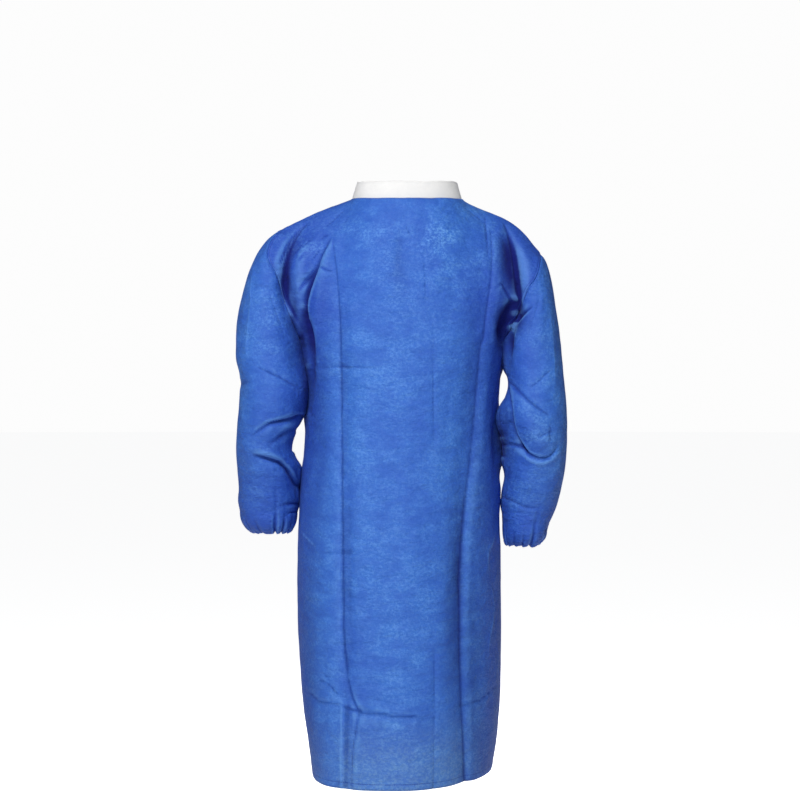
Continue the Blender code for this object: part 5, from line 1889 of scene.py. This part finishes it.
@dataclass
class LabCoat:
    """The whole coat."""

    body: Body = field(default_factory=Body)
    left: Arm = LEFT_ARM
    right: Arm = RIGHT_ARM
    crumples: tuple[tuple[float, float, int], ...] = ((0.0012, 0.045, 0), (0.0005, 0.014, 20))  # height, size, seed
    level_reach: float = 0.022  # how far from a seam its cloths are brought to one height
    close_reach: float = 0.020  # how far from it they are then drawn together
    press_reach: float = 0.004  # the same, once the seams are pressed
    seam_groove: Ridge = Ridge(-0.0007, 0, 0.0025)
    seam_swell: Ridge = Ridge(0.0006, 0.007, 0.005)
    hem_groove: Ridge = Ridge(-0.0005, 0.011, 0.002)
    hem_lift: float = 0.0004
    hem_turn: float = 0.010
    hem_step: float = 0.003

    def build(self) -> None:
        """Builds and dresses every piece."""
        for group in (fibre_cloud_group, point_bond_group, stitch_row_group):
            group()
        blue = NonwovenFinish().material()
        white = CollarFinish().material()
        plastic = SnapFinish().material()

        sleeves = [Sleeve(arm) for arm in (self.left, self.right)]
        cloths = self.lay_out(sleeves)
        self.sew(cloths)
        self.dress(cloths["back"], blue, ["back"])
        for front in ("front_left", "front_right"):
            self.dress(cloths[front], blue, [front])
        for sleeve in sleeves:
            nodes = [f"sleeve_{sleeve.arm.name}", f"cuff_{sleeve.arm.name}"]
            self.dress(cloths[nodes[0]], blue, nodes)
        collar = Collar(self.body)
        self.dress(collar.cloth(), white, ["collar"], collar.thickness)
        SnapRow().build(cloths["front_left"], cloths["front_right"], self.body.crossing_steps, plastic)

    def lay_out(self, sleeves: list[Sleeve]) -> dict[str, Cloth]:
        """Lays out the panels and the sleeves, each with its creases.

        Args:
            sleeves: The two sleeves.

        Returns:
            The cloths by name.
        """
        cloths = self.body.panels(self.left, self.right)
        for panel in cloths.values():
            panel.crease(SHOULDER_FOLDS + PANEL_FOLDS + BACK_CREASES + FRONT_CREASES)
        for sleeve in sleeves:
            cloth = sleeve.cloth()
            cloth.crease(SHOULDER_FOLDS + BACK_CREASES + FRONT_CREASES + sleeve.arm.creases)
            sleeve.gather(cloth)
            cloths[f"sleeve_{sleeve.arm.name}"] = cloth
        for seed, cloth in enumerate(cloths.values()):
            for height, size, more in self.crumples:
                cloth.crumple(height, size, seed + more)
        return cloths

    def sew(self, cloths: dict[str, Cloth]) -> None:
        """Joins the cloths at their seams, and laps the left front over the right one.

        Args:
            cloths: The cloths by name.
        """
        seams = Seams(cloths, self.body.seams(self.left, self.right))
        seams.level(self.level_reach)
        for cloth in cloths.values():
            cloth.settle()
            cloth.shade(PAINTED_LIGHT_PATCHES)
        seams.close(self.close_reach)
        over = cloths["front_left"]
        over.find_normals()
        over.points += over.normals * (self.body.over * self.body.lift)[None, :, None]
        for cloth in cloths.values():
            self.press(cloth)
        seams.close(self.press_reach)

    def press(self, cloth: Cloth) -> None:
        """Presses a cloth down along its seams and turns up its hem.

        Args:
            cloth: The cloth.
        """
        cloth.find_normals()
        relief = np.zeros(cloth.heights.shape)
        for mark in ("from_top", "from_side"):
            relief += self.seam_groove.rise(cloth.marks[mark]) + self.seam_swell.rise(cloth.marks[mark])
        hem = cloth.marks["from_hem"]
        turned = 1 - past(hem, self.hem_turn, self.hem_step)
        relief += self.hem_lift * turned + self.hem_groove.rise(hem)
        cloth.points = cloth.points + cloth.normals * relief[..., None]

    def dress(
        self, cloth: Cloth, material: bpy.types.Material, nodes: list[str],
        thickness: float = SHELL,
    ) -> None:
        """Makes a cloth's mesh, parents it to the root and hides the solids that it stands for.

        Args:
            cloth: The cloth.
            material: Its finish.
            nodes: The solids that it stands for.
            thickness: How thick it shows.
        """
        piece = cloth.make(material, thickness)
        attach(piece, "root")
        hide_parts(*nodes)


def main() -> None:
    """Builds the coat and the studio."""
    logging.basicConfig(level=logging.INFO, format="%(name)s: %(message)s")
    LabCoat().build()
    Studio().build()


if __name__ == "__main__":
    main()
